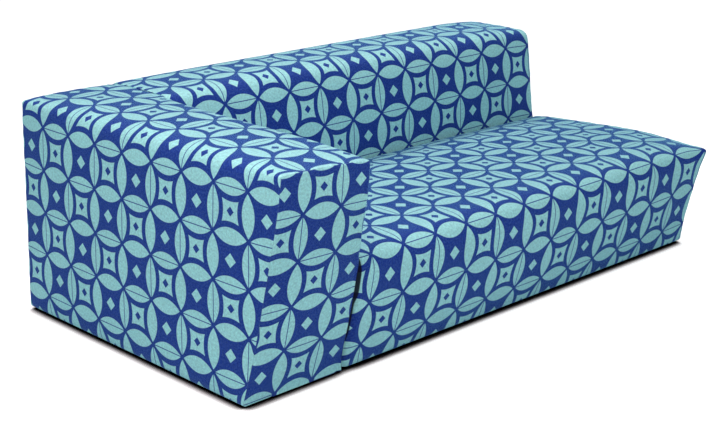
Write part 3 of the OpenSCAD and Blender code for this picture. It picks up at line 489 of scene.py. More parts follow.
def hand_of(piece, ring, seed):
    """What hands leave in cloth and foam: soft unevenness, and the seams' valleys, rolls and puckers."""
    mesh = piece.data
    co, normals = points_of(mesh), normals_of(mesh)
    shown = shown_side(piece, co)
    near = kdtree.KDTree(len(ring))
    for n, point in enumerate(ring):
        near.insert(point, n)
    near.balance()
    lift = np.zeros(len(co))
    gap = np.zeros(len(co))
    shift = Vector((seed, -seed, 2 * seed))
    for n, place in enumerate(co):
        at = Vector(place)
        lift[n] = noise.noise(at * UNEVEN_SCALE + shift) * UNEVEN
        lift[n] += noise.noise(at * RIPPLE_SCALE - shift) * UNEVEN * RIPPLE_SHARE
        gap[n] = near.find(at)[2]
        if gap[n] < PUCKER_REACH:
            lift[n] += noise.noise(at * PUCKER_SCALE + shift) * PUCKER * (1 - gap[n] / PUCKER_REACH) ** 2
    lift -= SEAM_DEPTH * fade(gap, SEAM_W)
    lift += SEAM_SWELL * fade(gap - SEAM_SWELL_AT, SEAM_SWELL_W)
    lift = lift * unit((co[:, 2] - FOOT_H - FOOT_ROUND) / CALM_H) * shown
    move_points(mesh, co + normals * lift[:, None])
    wear = np.maximum(np.exp(-gap / SEAM_WEAR_W), np.exp(-np.abs(co[:, 2] - FOOT_H) / FOOT_WEAR_W))
    mark_points(mesh, "worn", wear * shown)
    mark_points(mesh, "seam_gap", gap + HIDDEN_GAP * (1 - shown))


def lower_hem(piece):
    """Lets the hems hang a little lower than the recess inside them."""
    co = points_of(piece.data)
    x, y, z = co.T
    half = HEM_STEP / 2
    rim = (x < ARM_HEM_X + half) | (x > END_HEM_X - half) | (y < FRONT_HEM_Y + half) | (y > REAR_HEM_Y - half)
    co[:, 2] -= HEM_DROP * rim * (1 - unit((z - FOOT_H) / HEM_DROP_H))
    move_points(piece.data, co)


def under_places(start, hem, end, count):
    """Places across the underside, with the hem's edge among them."""
    first = max(2, round((hem - start) / (end - start) * (count - 1)))
    return np.concatenate([
        np.linspace(start, hem, first), np.linspace(hem + HEM_STEP, end, count - first)])


# The arm, which runs from front to rear


def station_at(y):
    """The station whose foot comes at a depth on the underside."""
    return REAR_Y - (REAR_Y - y) * (REAR_Y + DEPTH / 2) / (REAR_Y - front_y(FOOT_H))


front_hem, rear_hem = station_at(FRONT_HEM_Y), station_at(REAR_HEM_Y)
arm_across, arm_up = cut_shares(ARM_TOP_L), cut_shares(SIDE_L)
arm_under = under_places(arm_side_x(FOOT_H + FOOT_ROUND) + FOOT_ROUND, ARM_HEM_X, ARM_IN_X, len(arm_across))


def arm_sides(s):
    run, run_to_back = min(s + DEPTH / 2, REAR_Y - s), min(s + DEPTH / 2, back_y(EDGE_H) - s)
    outer_r = edge_round(ARM_CORNER_ROUND, ARM_OUTER_ROUND, run, ARM_CORNER_L)
    inner_r = edge_round(ARM_CORNER_ROUND, ARM_INNER_ROUND, run_to_back, ARM_CORNER_L)
    inner_r = mix(inner_r, ARM_BACK_ROUND, unit((s - back_y(EDGE_H)) / ARM_OUTER_ROUND))
    foot_z, round_z = FOOT_H + FOOT_ROUND, EDGE_H - outer_r
    foot = arc((arm_side_x(foot_z) + FOOT_ROUND, foot_z), FOOT_ROUND, 270, 180 - SPLAY_ANGLE, FOOT_STEPS)
    outer = arc((arm_side_x(round_z) + outer_r, round_z), outer_r, 180 - SPLAY_ANGLE, 90, EDGE_STEPS)
    inner = arc((ARM_IN_X - inner_r, EDGE_H - inner_r), inner_r, 90, 0, ARM_INNER_STEPS)
    (outer_low, outer_top), (inner_top, inner_low) = halves(outer), halves(inner)
    left, top = foot + outer_low, outer_top + inner_top
    right = [(ARM_IN_X, RECESS_H)] + inner_low[::-1]
    hem = np.where(arm_under <= ARM_HEM_X + HEM_STEP / 2, FOOT_H, RECESS_H)
    return left, top, right, np.stack([arm_under, hem], -1)


def arm_place(x, z, s, a, b, end):
    y = REAR_Y - (REAR_Y - s) * (REAR_Y - front_y(z)) / (REAR_Y + DEPTH / 2)
    laid = y.copy()
    run = y - front_y(z)
    depth_share = run / (REAR_Y - front_y(z))
    full = plateau(depth_share)
    rise = unit(share_up(z, EDGE_H))
    across = unit((x - ARM_TOP_X) / (ARM_IN_X - ARM_TOP_X))
    outside = unit(1 - (x - ARM_TOP_X) / ARM_OUTER_ROUND)
    near = 1 - unit(run / ARM_DROOP_L)
    lift = mix(END_CROWN, TOP_CROWN, full) * bow(across) * near_top(rise)
    lift = lift - ARM_DROOP * rise * across * near * near
    lift = lift + np.interp(x, CREST_X, CREST_LIFT) * depth_share * near_top(rise)
    lift = lift - REAR_DIP * fade(ARM_IN_X - x, REAR_DIP_X) * fade(REAR_Y - y, REAR_DIP_Y) * rise
    x = x - ARM_SWELL * bow(rise) * full * outside + mix(ARM_TILT, -ARM_TILT, rise) * depth_share * outside
    x = x + joint_push(laid, z) * across ** JOINT_ARM_POWER
    y = y - FRONT_PUSH * plateau(rise) * fade(run, FRONT_REACH)
    y = y + np.where(end < 0, -PANEL_SWELL, np.where(end > 0, REAR_SWELL, 0)) * bow(a) * bow(b)
    beside_seat = unit((SEAT_H + ARM_CREASE_OVER - z) / ARM_CREASE_FADE)
    y = y + ARM_CREASE * fade(ARM_IN_X - x, ARM_CREASE_W) * beside_seat * fade(run, ARM_CREASE_FADE)
    z = crowned(z, lift)
    on_hem = (s <= front_hem + HEM_STEP / 2) | (s >= rear_hem - HEM_STEP / 2)
    z = np.where((b == 0) & on_hem, FOOT_H, z)
    return laid, np.stack([x, y, z], -1)


hem_cuts = [front_hem, front_hem + HEM_STEP, rear_hem - HEM_STEP, rear_hem]
arm_along = cuts(REAR_Y + DEPTH / 2, CELL, [cut + DEPTH / 2 for cut in hem_cuts]) - DEPTH / 2
arm, arm_marks = lay_block(
    "arm_upholstery", arm_along, arm_across, arm_up, arm_sides, arm_place,
    phase=[(0.31, 0.047), (0.12, 0.09)])
sew(arm, arm_marks)


# The seat and the back, which run from the arm to the open end

end_hem_cuts = [END_HEM_X - HEM_STEP - SEAT_X0, END_HEM_X - SEAT_X0]
block_along = cuts(END_X - SEAT_X0, CELL, [*CREASE_CUTS, *end_hem_cuts]) + SEAT_X0
seat_across, seat_up = cut_shares(SEAT_TOP_L), cut_shares(SEAT_SIDE_L)
back_across, back_up = cut_shares(BACK_TOP_L), cut_shares(SIDE_L)


def end_panel(end, a, b):
    """How far the sewn-in panel at the open end swells."""
    return np.where(end > 0, PANEL_SWELL, 0) * bow(a) * bow(b)


def with_end_hem(z, b, s):
    """Heights with the open end's hem below the recess."""
    return np.where((b == 0) & (s > END_HEM_X - HEM_STEP / 2), FOOT_H, z)


def seat_sides(s):
    r = edge_round(SEAT_CORNER_ROUND, SEAT_ROUND, END_X - s, SEAT_CORNER_L)
    foot_z, front_z, rear_z = FOOT_H + FOOT_ROUND, SEAT_H - r, SEAT_H - SEAT_REAR_ROUND
    foot = arc((front_y(foot_z) + off_slope(FOOT_ROUND, FRONT_ANGLE), foot_z),
               FOOT_ROUND, 270, 180 + FRONT_ANGLE, FOOT_STEPS)
    front = arc((front_y(front_z) + off_slope(r, FRONT_ANGLE), front_z),
                r, 180 + FRONT_ANGLE, 90, EDGE_STEPS)
    rear = arc((back_y(rear_z) - UNIT_GAP / 2 - off_slope(SEAT_REAR_ROUND, BACK_ANGLE), rear_z),
               SEAT_REAR_ROUND, 90, -BACK_ANGLE, SEAT_REAR_STEPS)
    (front_low, front_top), (rear_top, rear_low) = halves(front), halves(rear)
    left, top = foot + front_low, front_top + rear_top
    right = [(back_y(FOOT_H) - UNIT_GAP / 2, RECESS_H)] + rear_low[::-1]
    under = under_places(left[0][0], FRONT_HEM_Y, right[0][0], len(seat_across))
    hem = np.where(under <= FRONT_HEM_Y + HEM_STEP / 2, FOOT_H, RECESS_H)
    return left, top, right, np.stack([under, hem], -1)


def seat_place(y, z, s, a, b, end):
    full = plateau((s - SEAT_X0) / (END_X - SEAT_X0))
    edge = front_y(SEAT_H)
    across = (y - edge) / (back_y(SEAT_H) - edge)
    rise = share_up(z, SEAT_H)
    in_front = unit(1 - across / FRONT_SHARE)
    laid = s.copy()
    lift = mix(SEAT_END_CROWN, SEAT_CROWN, full) * plateau(across, SEAT_CROWN_POWER)
    lift = lift + np.interp(across, END_ACROSS_SHARES, END_LIFT) * fade(END_X - s, END_LIFT_REACH)
    lift = lift + EDGE_RISE * unit(1 - across / EDGE_RISE_SHARE) ** 2 * (1 - fade(END_X - s, EDGE_RISE_END))
    corner = np.sqrt((s - END_X) ** 2 + (y - edge) ** 2 + (z - SEAT_H) ** 2)
    pull = fade(corner, EAR_REACH)
    aside = joint_push(y, z) * fade(s - SEAT_X0, JOINT_SEAT_W)
    y = y - SEAT_SWELL * bow(rise) * full * in_front
    push = FRONT_PUSH * plateau(share_up(z, EDGE_H)) * in_front
    y = y - push * unit((SEAT_PUSH_END - s) / SEAT_PUSH_RUN)
    y = y + SEAT_CREASE * fade(s - SEAT_X0, SEAT_CREASE_W) * in_front
    x = s + end_panel(end, a, b)
    x = x + np.interp(z, END_Z, END_PUSH) * fade(END_X - s, END_PUSH_REACH) * in_front
    x = x + aside
    z = crowned(z, lift * near_top(rise))
    x, y, z = x + EAR[0] * pull, y + EAR[1] * pull, z + EAR[2] * pull
    return laid, np.stack([x, y, with_end_hem(z, b, s)], -1)


seat, seat_marks = lay_block(
    "seat_upholstery", block_along, seat_across, seat_up, seat_sides, seat_place,
    phase=[(0.0, 0.0), (0.23, 0.061)])
sew(seat, seat_marks)


def back_sides(s):
    foot_z, round_z = FOOT_H + FOOT_ROUND, EDGE_H - BACK_ROUND
    front = arc((back_y(round_z) + UNIT_GAP / 2 + off_slope(BACK_ROUND, BACK_ANGLE), round_z),
                BACK_ROUND, 180 - BACK_ANGLE, 90, EDGE_STEPS)
    rear = arc((REAR_Y - BACK_ROUND, round_z), BACK_ROUND, 90, 0, EDGE_STEPS)
    foot = arc((REAR_Y - FOOT_ROUND, foot_z), FOOT_ROUND, 0, -90, FOOT_STEPS)
    (front_low, front_top), (rear_top, rear_low) = halves(front), halves(rear)
    left = [(back_y(FOOT_H) + UNIT_GAP / 2, RECESS_H)] + front_low
    top, right = front_top + rear_top, (rear_low + foot)[::-1]
    under = -under_places(-right[0][0], -REAR_HEM_Y, -left[0][0], len(back_across))[::-1]
    hem = np.where(under >= REAR_HEM_Y - HEM_STEP / 2, FOOT_H, RECESS_H)
    return left, top, right, np.stack([under, hem], -1)


def back_place(y, z, s, a, b, end):
    full = plateau((s - SEAT_X0) / (END_X - SEAT_X0))
    across = unit((y - back_y(EDGE_H)) / (REAR_Y - back_y(EDGE_H)))
    rise = unit(share_up(z, EDGE_H))
    above = unit((z - SEAT_H) / (EDGE_H - SEAT_H))
    near = 1 - unit((END_X - s) / BACK_DROOP_L)
    laid = s.copy()
    swell = np.where(across < 0.5, -BACK_SWELL * bow(above) * (1 - 2 * across),
                     REAR_SWELL * bow(rise) * (2 * across - 1))
    y = y + swell * full
    x = s + end_panel(end, a, b)
    crown = mix(END_CROWN, TOP_CROWN, full) * bow(across) + np.interp(s, CREST_X, CREST_LIFT)
    crown = crown * near_top(rise)
    crown = crown - BACK_EDGE_DROP * fade(s - SEAT_X0, 2 * BACK_EDGE_DROP) * rise
    z = crowned(z, crown - BACK_DROOP * rise * near * near)
    return laid, np.stack([x, y, with_end_hem(z, b, s)], -1)


back, back_marks = lay_block(
    "back_upholstery", block_along, back_across, back_up, back_sides, back_place,
    phase=[(0.0, 0.0), (0.17, 0.11)])
sew(back, back_marks)

for piece, marks, seed in [(arm, arm_marks, 1.7), (seat, seat_marks, 5.2), (back, back_marks, 9.4)]:
    free = shown_side(piece, points_of(piece.data))
    fill_out(piece, held_points(marks, free), free)
    ring = ring_points(piece, marks)
    finish_cloth(piece)
    hand_of(piece, ring, seed)
    lower_hem(piece)


# Materials


class Nodes:
    """A short way to write a material's nodes."""

    def __init__(self, name):
        self.material = bpy.data.materials.new(name)
        self.material.use_nodes = True
        self.tree = self.material.node_tree
        self.tree.nodes.clear()
        self.out = self.tree.nodes.new("ShaderNodeOutputMaterial")
        self.surface = self.tree.nodes.new("ShaderNodeBsdfPrincipled")
        self.tree.links.new(self.surface.outputs[0], self.out.inputs["Surface"])

    def put(self, socket, value):
        if hasattr(value, "node"):
            self.tree.links.new(value, socket)
        else:
            socket.default_value = value

    def node(self, kind, inputs=None, **settings):
        made = self.tree.nodes.new("ShaderNode" + kind)
        for name, value in settings.items():
            setattr(made, name, value)
        for name, value in (inputs or {}).items():
            self.put(made.inputs[name], value)
        return made

    def math(self, operation, *values, clamp=False):
        made = self.node("Math", operation=operation, use_clamp=clamp)
        for socket, value in zip(made.inputs, values):
            self.put(socket, value)
        return made.outputs[0]

    def plus(self, a, b):
        return self.math("ADD", a, b)

    def minus(self, a, b):
        return self.math("SUBTRACT", a, b)

    def times(self, a, b, clamp=False):
        return self.math("MULTIPLY", a, b, clamp=clamp)

    def rest(self, a):
        """What is left of 1."""
        return self.minus(1.0, a)

    def floor(self, a):
        return self.math("FLOOR", a)

    def odd(self, a, b):
        """1 where two whole numbers add up to an odd one, and 0 elsewhere."""
        return self.math("MODULO", self.math("ABSOLUTE", self.plus(a, b)), 2.0)

    def swing(self, value, amount):
        """A value between 0 and 1, as a swing to both sides of 0."""
        return self.times(self.minus(value, 0.5), amount)

    def step(self, value, low, high):
        """0 below low, 1 above high, smooth between."""
        made = self.node("MapRange", {"Value": value, "From Min": low, "From Max": high},
                         interpolation_type="SMOOTHSTEP")
        return made.outputs["Result"]

    def blend(self, factor, a, b, kind="MIX"):
        made = self.node("Mix", data_type="RGBA", blend_type=kind)
        self.put(made.inputs["Factor"], factor)
        for name, value in (("A", a), ("B", b)):
            socket = [s for s in made.inputs if s.name == name and s.type == "RGBA"][0]
            self.put(socket, value)
        return [s for s in made.outputs if s.type == "RGBA"][0]

    def colour(self, red, green, blue):
        return self.node("CombineColor", {"Red": red, "Green": green, "Blue": blue}).outputs[0]

    def split(self, vector):
        return self.node("SeparateXYZ", {"Vector": vector}).outputs

    def place(self):
        """The Object coordinates, in metres."""
        return self.node("TexCoord").outputs["Object"]

    def noise(self, vector, scale, detail=3.0, roughness=0.5):
        return self.node("TexNoise", {"Vector": vector, "Scale": scale, "Detail": detail,
                                      "Roughness": roughness}).outputs["Fac"]

    def cells(self, vector, scale):
        return self.node("TexVoronoi", {"Vector": vector, "Scale": scale}).outputs["Distance"]

    def bump(self, height, distance, strength):
        return self.node("Bump", {"Height": height, "Distance": distance, "Strength": strength}).outputs[0]

    def finish(self, **sockets):
        for name, value in sockets.items():
            self.put(self.surface.inputs[name.replace("_", " ")], value)
        return self.material


def srgb(r, g, b):
    """A colour from 0 to 255, as the shader takes it."""
    def linear(c):
        c /= 255
        return c / 12.92 if c <= 0.04045 else ((c + 0.055) / 1.055) ** 2.4
    return (linear(r), linear(g), linear(b), 1.0)


def darker(colour, share=0.8):
    return tuple(c * share for c in colour[:3]) + (1.0,)


# The print: the lattice's pitch in metres, and its forms, as shares of the pitch, each with the
# start and end of its soft edge
LATTICE = 0.135
CIRCLE_R = 0.7071
LEAF_EDGE = (0.031, 0.037)
RIB_EDGE, RIB_TIP = (0.008, 0.013), (0.0, 0.004)
LARGE_SIDE, LARGE_HEART = (0.088, 0.094), (0.098, 0.104)
SMALL_SIDE = (0.150, 0.156)


def lattice_print(n, u, v):
    """A lattice of overlapping circles: leaves along its lines, and hollow-sided diamonds between them."""
    x, y = n.math("DIVIDE", u, LATTICE), n.math("DIVIDE", v, LATTICE)
    ax = n.math("ABSOLUTE", n.minus(n.math("FRACT", x), 0.5))
    ay = n.math("ABSOLUTE", n.minus(n.math("FRACT", y), 0.5))
    column, row = n.floor(x), n.floor(y)
    next_column, next_row = n.floor(n.plus(x, 0.5)), n.floor(n.plus(y, 0.5))

    def distance(dx, dy):
        return n.math("SQRT", n.plus(n.times(dx, dx), n.times(dy, dy)))

    upright = distance(n.plus(ax, 0.5), n.minus(ay, 0.5))
    level = distance(n.minus(ax, 0.5), n.plus(ay, 0.5))
    leaf_up, leaf_level = n.minus(CIRCLE_R, upright), n.minus(CIRCLE_R, level)
    leaf = n.step(n.math("MAXIMUM", leaf_up, leaf_level), *LEAF_EDGE)

    def rib(off_line, inside_leaf, which):
        """A thin rib along every other leaf."""
        return n.times(n.rest(n.step(off_line, *RIB_EDGE)), n.times(n.step(inside_leaf, *RIB_TIP), which))

    ribs = n.math("MAXIMUM", rib(ax, leaf_up, n.odd(column, next_row)),
                  rib(ay, leaf_level, n.odd(next_column, row)))
    leaf = n.times(leaf, n.rest(ribs))
    # The diamonds: a large one in every other place, with a blue heart, and a small one in the rest
    hollow = n.minus(n.math("MINIMUM", upright, level), CIRCLE_R)
    corner = n.plus(n.minus(0.5, ax), n.minus(0.5, ay))
    large = n.times(n.step(hollow, *LARGE_SIDE), n.step(corner, *LARGE_HEART))
    small = n.rest(n.step(corner, *SMALL_SIDE))
    which = n.odd(next_column, next_row)
    diamond = n.plus(n.times(which, large), n.times(n.rest(which), small))
    return n.math("MAXIMUM", leaf, diamond, clamp=True)


# The canvas: its two colours, and the scales and strengths of what breaks them up
AQUA, BLUE = srgb(152, 216, 219), srgb(13, 48, 136)
FLECK_BLUE, WORN_PALE = srgb(100, 142, 198), srgb(170, 200, 215)
# The second of these colours is a painted shade, near black, for the open crease between the arm and the seat
SEAM_BLUE, CREASE_SHADE_BLUE = srgb(16, 34, 84), srgb(5, 9, 34)
YARN, YARN_DARK, YARN_LIGHT = 0.0011, 0.94, 0.08
CAST_SCALE, CAST = 5.0, 0.10
SLUB_SCALE, SLUB, SLUB_HEIGHT = 420.0, 0.16, 0.6
GRAIN_SCALE, GRAIN, GRAIN_ROUGHNESS = 140.0, 0.90, 0.7
FLECK_SCALE, FLECK_FROM, FLECK = 170.0, 0.42, 0.60
WORN, WORN_LEAST, WORN_SLUB = 0.07, 0.35, 0.5
SEAM_SHUT, SEAM_SHUT_W = 0.30, 0.0022
CANVAS_BUMP, CANVAS_BUMP_STRENGTH = 0.00035, 0.55

# The painted shade in the open crease: its widths, and the heights and depths between which they change
CREASE_SHADE_PAINT = 0.97
CREASE_FOOT_W, CREASE_WIDER, CREASE_WIDEST = 0.0095, 0.009, 0.0070
CREASE_WIDER_Z, CREASE_WIDEST_Z = (0.05, 0.14), (0.21, 0.26)
CREASE_ARM_EDGE, CREASE_SEAT_EDGE = (-0.003, -0.001), (-0.0015, 0.0015)
CREASE_TOP_Z, CREASE_REAR_Y = (0.362, 0.372), (-0.400, -0.385)


def plain_weave(n, u, v):
    """The height of the yarns, which are a little over a millimetre wide."""
    def ridge(w):
        return n.math("ABSOLUTE", n.math("SINE", n.times(w, math.pi / YARN)))

    over = n.odd(n.floor(n.math("DIVIDE", u, YARN)), n.floor(n.math("DIVIDE", v, YARN)))
    return n.plus(n.times(ridge(u), over), n.times(ridge(v), n.rest(over)))


def painted_crease_shade(n):
    """1 in the open crease between the arm and the seat's front, where shade is painted near black into the
    cloth's colour. It follows joint_push."""
    x, y, z = n.split(n.place())
    height = EDGE_H - FOOT_H
    from_middle = n.plus(1 + 2 * FOOT_H / height, n.times(z, -2 / height))
    foot = n.math("POWER", n.math("MAXIMUM", from_middle, 0.0), float(JOINT_FOOT_POWER))
    middle = n.rest(n.math("POWER", n.math("ABSOLUTE", from_middle), 4.0))
    aside = n.plus(n.times(foot, JOINT_FOOT), n.times(middle, JOINT_PUSH))
    run = n.minus(n.minus(x, SEAT_X0), aside)
    width = n.plus(n.times(n.step(z, *CREASE_WIDER_Z), CREASE_WIDER), CREASE_FOOT_W)
    width = n.plus(width, n.times(n.step(z, *CREASE_WIDEST_Z), CREASE_WIDEST))
    past_seat = n.step(n.minus(run, width), *CREASE_SEAT_EDGE)
    inside = n.times(n.step(run, *CREASE_ARM_EDGE), n.rest(past_seat))
    inside = n.times(inside, n.rest(n.step(z, *CREASE_TOP_Z)))
    return n.times(inside, n.rest(n.step(y, *CREASE_REAR_Y)))


def canvas():
    n = Nodes("printed_canvas")
    cloth = n.node("UVMap", uv_map="cloth").outputs[0]
    u, v, _ = n.split(cloth)
    weave = plain_weave(n, u, v)
    slub = n.noise(cloth, SLUB_SCALE, detail=2.0)
    cast = n.noise(cloth, CAST_SCALE, detail=2.0)
    grain = n.noise(cloth, GRAIN_SCALE, detail=2.0, roughness=GRAIN_ROUGHNESS)
    shade = n.plus(n.swing(cast, CAST), n.plus(n.swing(slub, SLUB), 1.0))
    shade = n.times(shade, n.plus(YARN_DARK, n.times(weave, YARN_LIGHT)))
    shade = n.plus(shade, n.swing(grain, GRAIN))
    colour = n.blend(lattice_print(n, u, v), BLUE, AQUA)
    colour = n.blend(1.0, colour, n.colour(shade, shade, shade), "MULTIPLY")
    fleck = n.noise(cloth, FLECK_SCALE, detail=2.0, roughness=GRAIN_ROUGHNESS)
    colour = n.blend(n.times(n.minus(fleck, FLECK_FROM), FLECK, clamp=True), colour, FLECK_BLUE)
    worn = n.node("Attribute", attribute_name="worn").outputs["Fac"]
    worn = n.times(worn, n.plus(WORN_LEAST, n.times(slub, WORN_SLUB)), clamp=True)
    colour = n.blend(n.times(worn, WORN), colour, WORN_PALE)
    seam_gap = n.node("Attribute", attribute_name="seam_gap").outputs["Fac"]
    shut = n.rest(n.step(seam_gap, 0.0, SEAM_SHUT_W))
    colour = n.blend(n.times(shut, SEAM_SHUT), colour, SEAM_BLUE)
    # Painted shade: the open crease between the arm and the seat's front is painted near black
    colour = n.blend(n.times(painted_crease_shade(n), CREASE_SHADE_PAINT), colour, CREASE_SHADE_BLUE)
    height = n.plus(weave, n.times(slub, SLUB_HEIGHT))
    return n.finish(Base_Color=colour, Roughness=0.86,
                    Normal=n.bump(height, CANVAS_BUMP, CANVAS_BUMP_STRENGTH),
                    Sheen_Weight=1.0, Sheen_Roughness=0.25, Sheen_Tint=(0.22, 0.66, 1.0, 1.0),
                    Specular_IOR_Level=0.15)


def metal(name, colour, roughness, stretch, rough_range):
    """Bare metal, with the lines of its brushing or rolling drawn out along one way."""
    n = Nodes(name)
    drawn_out = n.node("Mapping", {"Vector": n.place(), "Scale": stretch}).outputs[0]
    lines = n.noise(drawn_out, scale=60.0, detail=4.0, roughness=0.6)
    marks = n.noise(n.place(), scale=9.0)
    tone = n.blend(n.times(marks, 0.5), colour, darker(colour))
    rough = n.plus(roughness, n.times(lines, rough_range))
    return n.finish(Base_Color=tone, Metallic=1.0, Roughness=rough,
                    Normal=n.bump(lines, distance=0.0001, strength=0.25))


def board_sheet():
    n = Nodes("board")
    grain = n.noise(n.place(), scale=700.0, detail=2.0)
    cast = n.noise(n.place(), scale=4.0, detail=2.0)
    tone = n.blend(cast, srgb(92, 97, 102), srgb(112, 117, 121))
    return n.finish(Base_Color=tone, Roughness=n.plus(0.5, n.times(grain, 0.25)),
                    Normal=n.bump(grain, distance=0.0002, strength=0.3))


WALES, COURSES = 2200.0, 2600.0


def webbing():
    """Elastic strap, with its ribs counted in radians to a metre."""
    n = Nodes("strap")
    x, y, z = n.split(n.place())
    wale = n.math("SINE", n.times(n.plus(x, z), WALES))
    course = n.math("SINE", n.times(n.plus(y, z), COURSES))
    rib = n.times(wale, course)
    tone = n.blend(n.plus(0.5, n.times(rib, 0.5)), srgb(38, 38, 41), srgb(66, 66, 70))
    return n.finish(Base_Color=tone, Roughness=0.85, Normal=n.bump(rib, distance=0.0004, strength=0.6))


def felted(name, dark, light, scale, depth):
    """Matted fibres: the hook tape and the dust cloths."""
    n = Nodes(name)
    fibre = n.noise(n.place(), scale, detail=4.0, roughness=0.65)
    dots = n.cells(n.place(), scale * 0.6)
    return n.finish(Base_Color=n.blend(fibre, dark, light), Roughness=0.95,
                    Normal=n.bump(n.plus(fibre, dots), depth, strength=0.6))


def glide_plastic():
    n = Nodes("glide")
    grain = n.noise(n.place(), scale=900.0, detail=2.0)
    scuff = n.noise(n.place(), scale=60.0)
    tone = n.blend(scuff, srgb(28, 28, 29), srgb(44, 44, 45))
    return n.finish(Base_Color=tone, Roughness=n.plus(0.38, n.times(scuff, 0.25)),
                    Normal=n.bump(grain, distance=0.0001, strength=0.3))


def foam_cells(name, colour):
    n = Nodes(name)
    cells = n.cells(n.place(), scale=500.0)
    tone = n.blend(cells, darker(colour), colour)
    return n.finish(Base_Color=tone, Roughness=0.95, Normal=n.bump(cells, distance=0.0006, strength=0.6))


finishes = {
    "printed_canvas": canvas(),
    "foam": foam_cells("foam", srgb(236, 232, 214)),
    "firm_foam": foam_cells("firm_foam", srgb(214, 208, 160)),
    "strap": webbing(),
    "hook_tape": felted("hook_tape", srgb(16, 16, 16), srgb(40, 40, 41), scale=900.0, depth=0.0008),
    "dust_cloth": felted("dust_cloth", srgb(20, 20, 21), srgb(42, 42, 44), scale=450.0, depth=0.0003),
    "board": board_sheet(),
    "glide": glide_plastic(),
    "frame_aluminium": metal("frame_aluminium", srgb(206, 208, 210), roughness=0.30,
                             stretch=(1, 1, 14), rough_range=0.22),
    "steel": metal("steel", srgb(196, 197, 198), roughness=0.22, stretch=(6, 6, 1), rough_range=0.2),
}
for row in frame["record"]["subparts"]:
    for slot in frame["nodes"][row["node"]].material_slots:
        slot.material = finishes[row["material_slot"]]


def dress(piece, *nodes, fill):
    piece.data.materials.clear()
    piece.data.materials.append(finishes["printed_canvas"])
    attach(piece, "root")
    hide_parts(*nodes)


dress(arm, "arm_cover", "arm_cover_front", "arm_cover_rear", "arm_outer_foam", "arm_inner_foam",
      "arm_top_foam", "arm_front_foam", "arm_rear_foam", fill=0.95)
dress(seat, "seat_cover", "seat_cover_end", "seat_cover_inner_end", "seat_core_foam", "seat_top_foam",
      "seat_front_foam", "seat_end_foam", fill=0.9)
dress(back, "back_cover", "back_cover_end", "back_cover_inner_end", "back_front_foam", "back_top_foam",
      "back_rear_foam", "back_end_foam", fill=0.95)


# Floor, light and camera

WHITE = (1.0, 1.0, 1.0, 1.0)
AMBIENT, AMBIENT_STRENGTH = (0.82, 0.96, 1.0, 1.0), 0.32

# The floor as the lamps light it and as the camera sees it, and the painted shade by the sofa and in the gap
# # under it, from ambient occlusion: its reach, its soft edge and its tint
FLOOR_SIZE = 60
FLOOR_PALE, FLOOR_SEEN, FLOOR_GLOW = (0.90, 0.90, 0.90, 1.0), (0.45, 0.45, 0.45, 1.0), 0.92
PAINTED_SHADOW_REACH, PAINTED_SHADOW_EDGE = 0.045, (0.40, 0.88)
PAINTED_SHADOW_RED_POWER, PAINTED_SHADOW_BLUE_POWER = 0.8, 0.94

# The camera: its focal length in pixels of a picture this wide, its place, and its tilt and turn
FOCAL_PX, PICTURE_PX, SENSOR = 1518.4, 720, 36.0
CAMERA_PLACE, CAMERA_DOWN, CAMERA_TURN = (-3.417, -3.377, 1.743), 17.611, -44.138


def studio_floor():
    """A pale floor that the camera sees as white, but for the sofa's shadow and a painted shade near the sofa
    and in the gap under it.
    """
    bpy.ops.object.select_all(action="DESELECT")
    bpy.ops.mesh.primitive_plane_add(size=FLOOR_SIZE, location=(0, 0, 0))
    floor = bpy.context.object
    floor.name = "floor"
    n = Nodes("floor")
    ray = n.node("LightPath").outputs
    seen = n.math("MAXIMUM", ray["Is Camera Ray"],
                  n.math("MAXIMUM", ray["Is Glossy Ray"], ray["Is Transmission Ray"]))
    # Painted shade: where ambient occlusion finds the sofa close by, the floor's colour and glow are
    # darkened, the red least
    open_sky = n.node("AmbientOcclusion", {"Distance": PAINTED_SHADOW_REACH}, samples=16).outputs["AO"]
    shade = n.step(open_sky, *PAINTED_SHADOW_EDGE)
    pale = n.blend(seen, FLOOR_PALE, FLOOR_SEEN)
    under = n.colour(n.math("POWER", shade, PAINTED_SHADOW_RED_POWER), shade, n.math("POWER", shade, PAINTED_SHADOW_BLUE_POWER))
    n.finish(Base_Color=n.blend(seen, pale, n.blend(1.0, pale, under, "MULTIPLY")), Roughness=0.9,
             Specular_IOR_Level=0.0, Emission_Color=WHITE,
             Emission_Strength=n.times(n.times(seen, shade), FLOOR_GLOW))
    floor.data.materials.append(n.material)


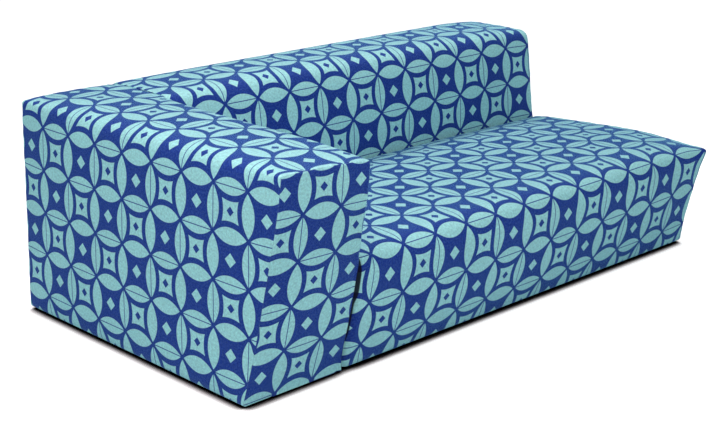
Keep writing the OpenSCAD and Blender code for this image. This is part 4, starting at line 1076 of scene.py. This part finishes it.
def studio_world():
    """An even ambient light, which the camera, metal and glass see as white."""
    world = bpy.data.worlds.new("studio")
    bpy.context.scene.world = world
    world.use_nodes = True
    tree = world.node_tree
    tree.nodes.clear()
    out = tree.nodes.new("ShaderNodeOutputWorld")
    ambient = tree.nodes.new("ShaderNodeBackground")
    white = tree.nodes.new("ShaderNodeBackground")
    ray = tree.nodes.new("ShaderNodeLightPath")
    seen = tree.nodes.new("ShaderNodeMath")
    through = tree.nodes.new("ShaderNodeMath")
    seen.operation = through.operation = "MAXIMUM"
    both = tree.nodes.new("ShaderNodeMixShader")
    ambient.inputs["Color"].default_value = AMBIENT
    ambient.inputs["Strength"].default_value = AMBIENT_STRENGTH
    white.inputs["Color"].default_value = WHITE
    white.inputs["Strength"].default_value = 1.0
    link = tree.links.new
    link(ray.outputs["Is Camera Ray"], seen.inputs[0])
    link(ray.outputs["Is Glossy Ray"], seen.inputs[1])
    link(seen.outputs[0], through.inputs[0])
    link(ray.outputs["Is Transmission Ray"], through.inputs[1])
    link(through.outputs[0], both.inputs[0])
    link(ambient.outputs[0], both.inputs[1])
    link(white.outputs[0], both.inputs[2])
    link(both.outputs[0], out.inputs[0])


def softbox(name, place, target, size, power, colour):
    light = bpy.data.lights.new(name, "AREA")
    light.shape = "RECTANGLE"
    light.size, light.size_y = size
    light.energy = power
    light.color = colour
    lamp = bpy.data.objects.new(name, light)
    bpy.context.scene.collection.objects.link(lamp)
    lamp.location = place
    lamp.rotation_euler = (Vector(target) - Vector(place)).to_track_quat("-Z", "Y").to_euler()


studio_floor()
studio_world()
softbox("overhead", place=(0.4, 1.3, 3.4), target=(0, 0.1, 0.4), size=(3.6, 1.8), power=103,
        colour=(1.0, 0.82, 0.79))
softbox("arm_side", place=(-1.4, -1.0, 2.2), target=(-0.9, -0.2, 0.6), size=(1.4, 1.0), power=36,
        colour=(1.0, 0.80, 0.75))
softbox("front_fill", place=(0.2, -4.2, 0.8), target=(0, -0.3, 0.2), size=(4.0, 1.2), power=20,
        colour=(0.92, 0.99, 1.0))
softbox("left_fill", place=(-4.4, -0.6, 0.7), target=(-0.9, 0, 0.2), size=(2.6, 1.2), power=15.5,
        colour=(0.89, 0.98, 1.0))

camera = bpy.data.cameras.new("camera")
camera.sensor_width = SENSOR
camera.lens = FOCAL_PX / PICTURE_PX * SENSOR
viewer = bpy.data.objects.new("camera", camera)
bpy.context.scene.collection.objects.link(viewer)
viewer.location = CAMERA_PLACE
viewer.rotation_euler = (math.radians(90 - CAMERA_DOWN), 0, math.radians(CAMERA_TURN))
bpy.context.scene.camera = viewer
bpy.context.scene.view_settings.view_transform = "Standard"
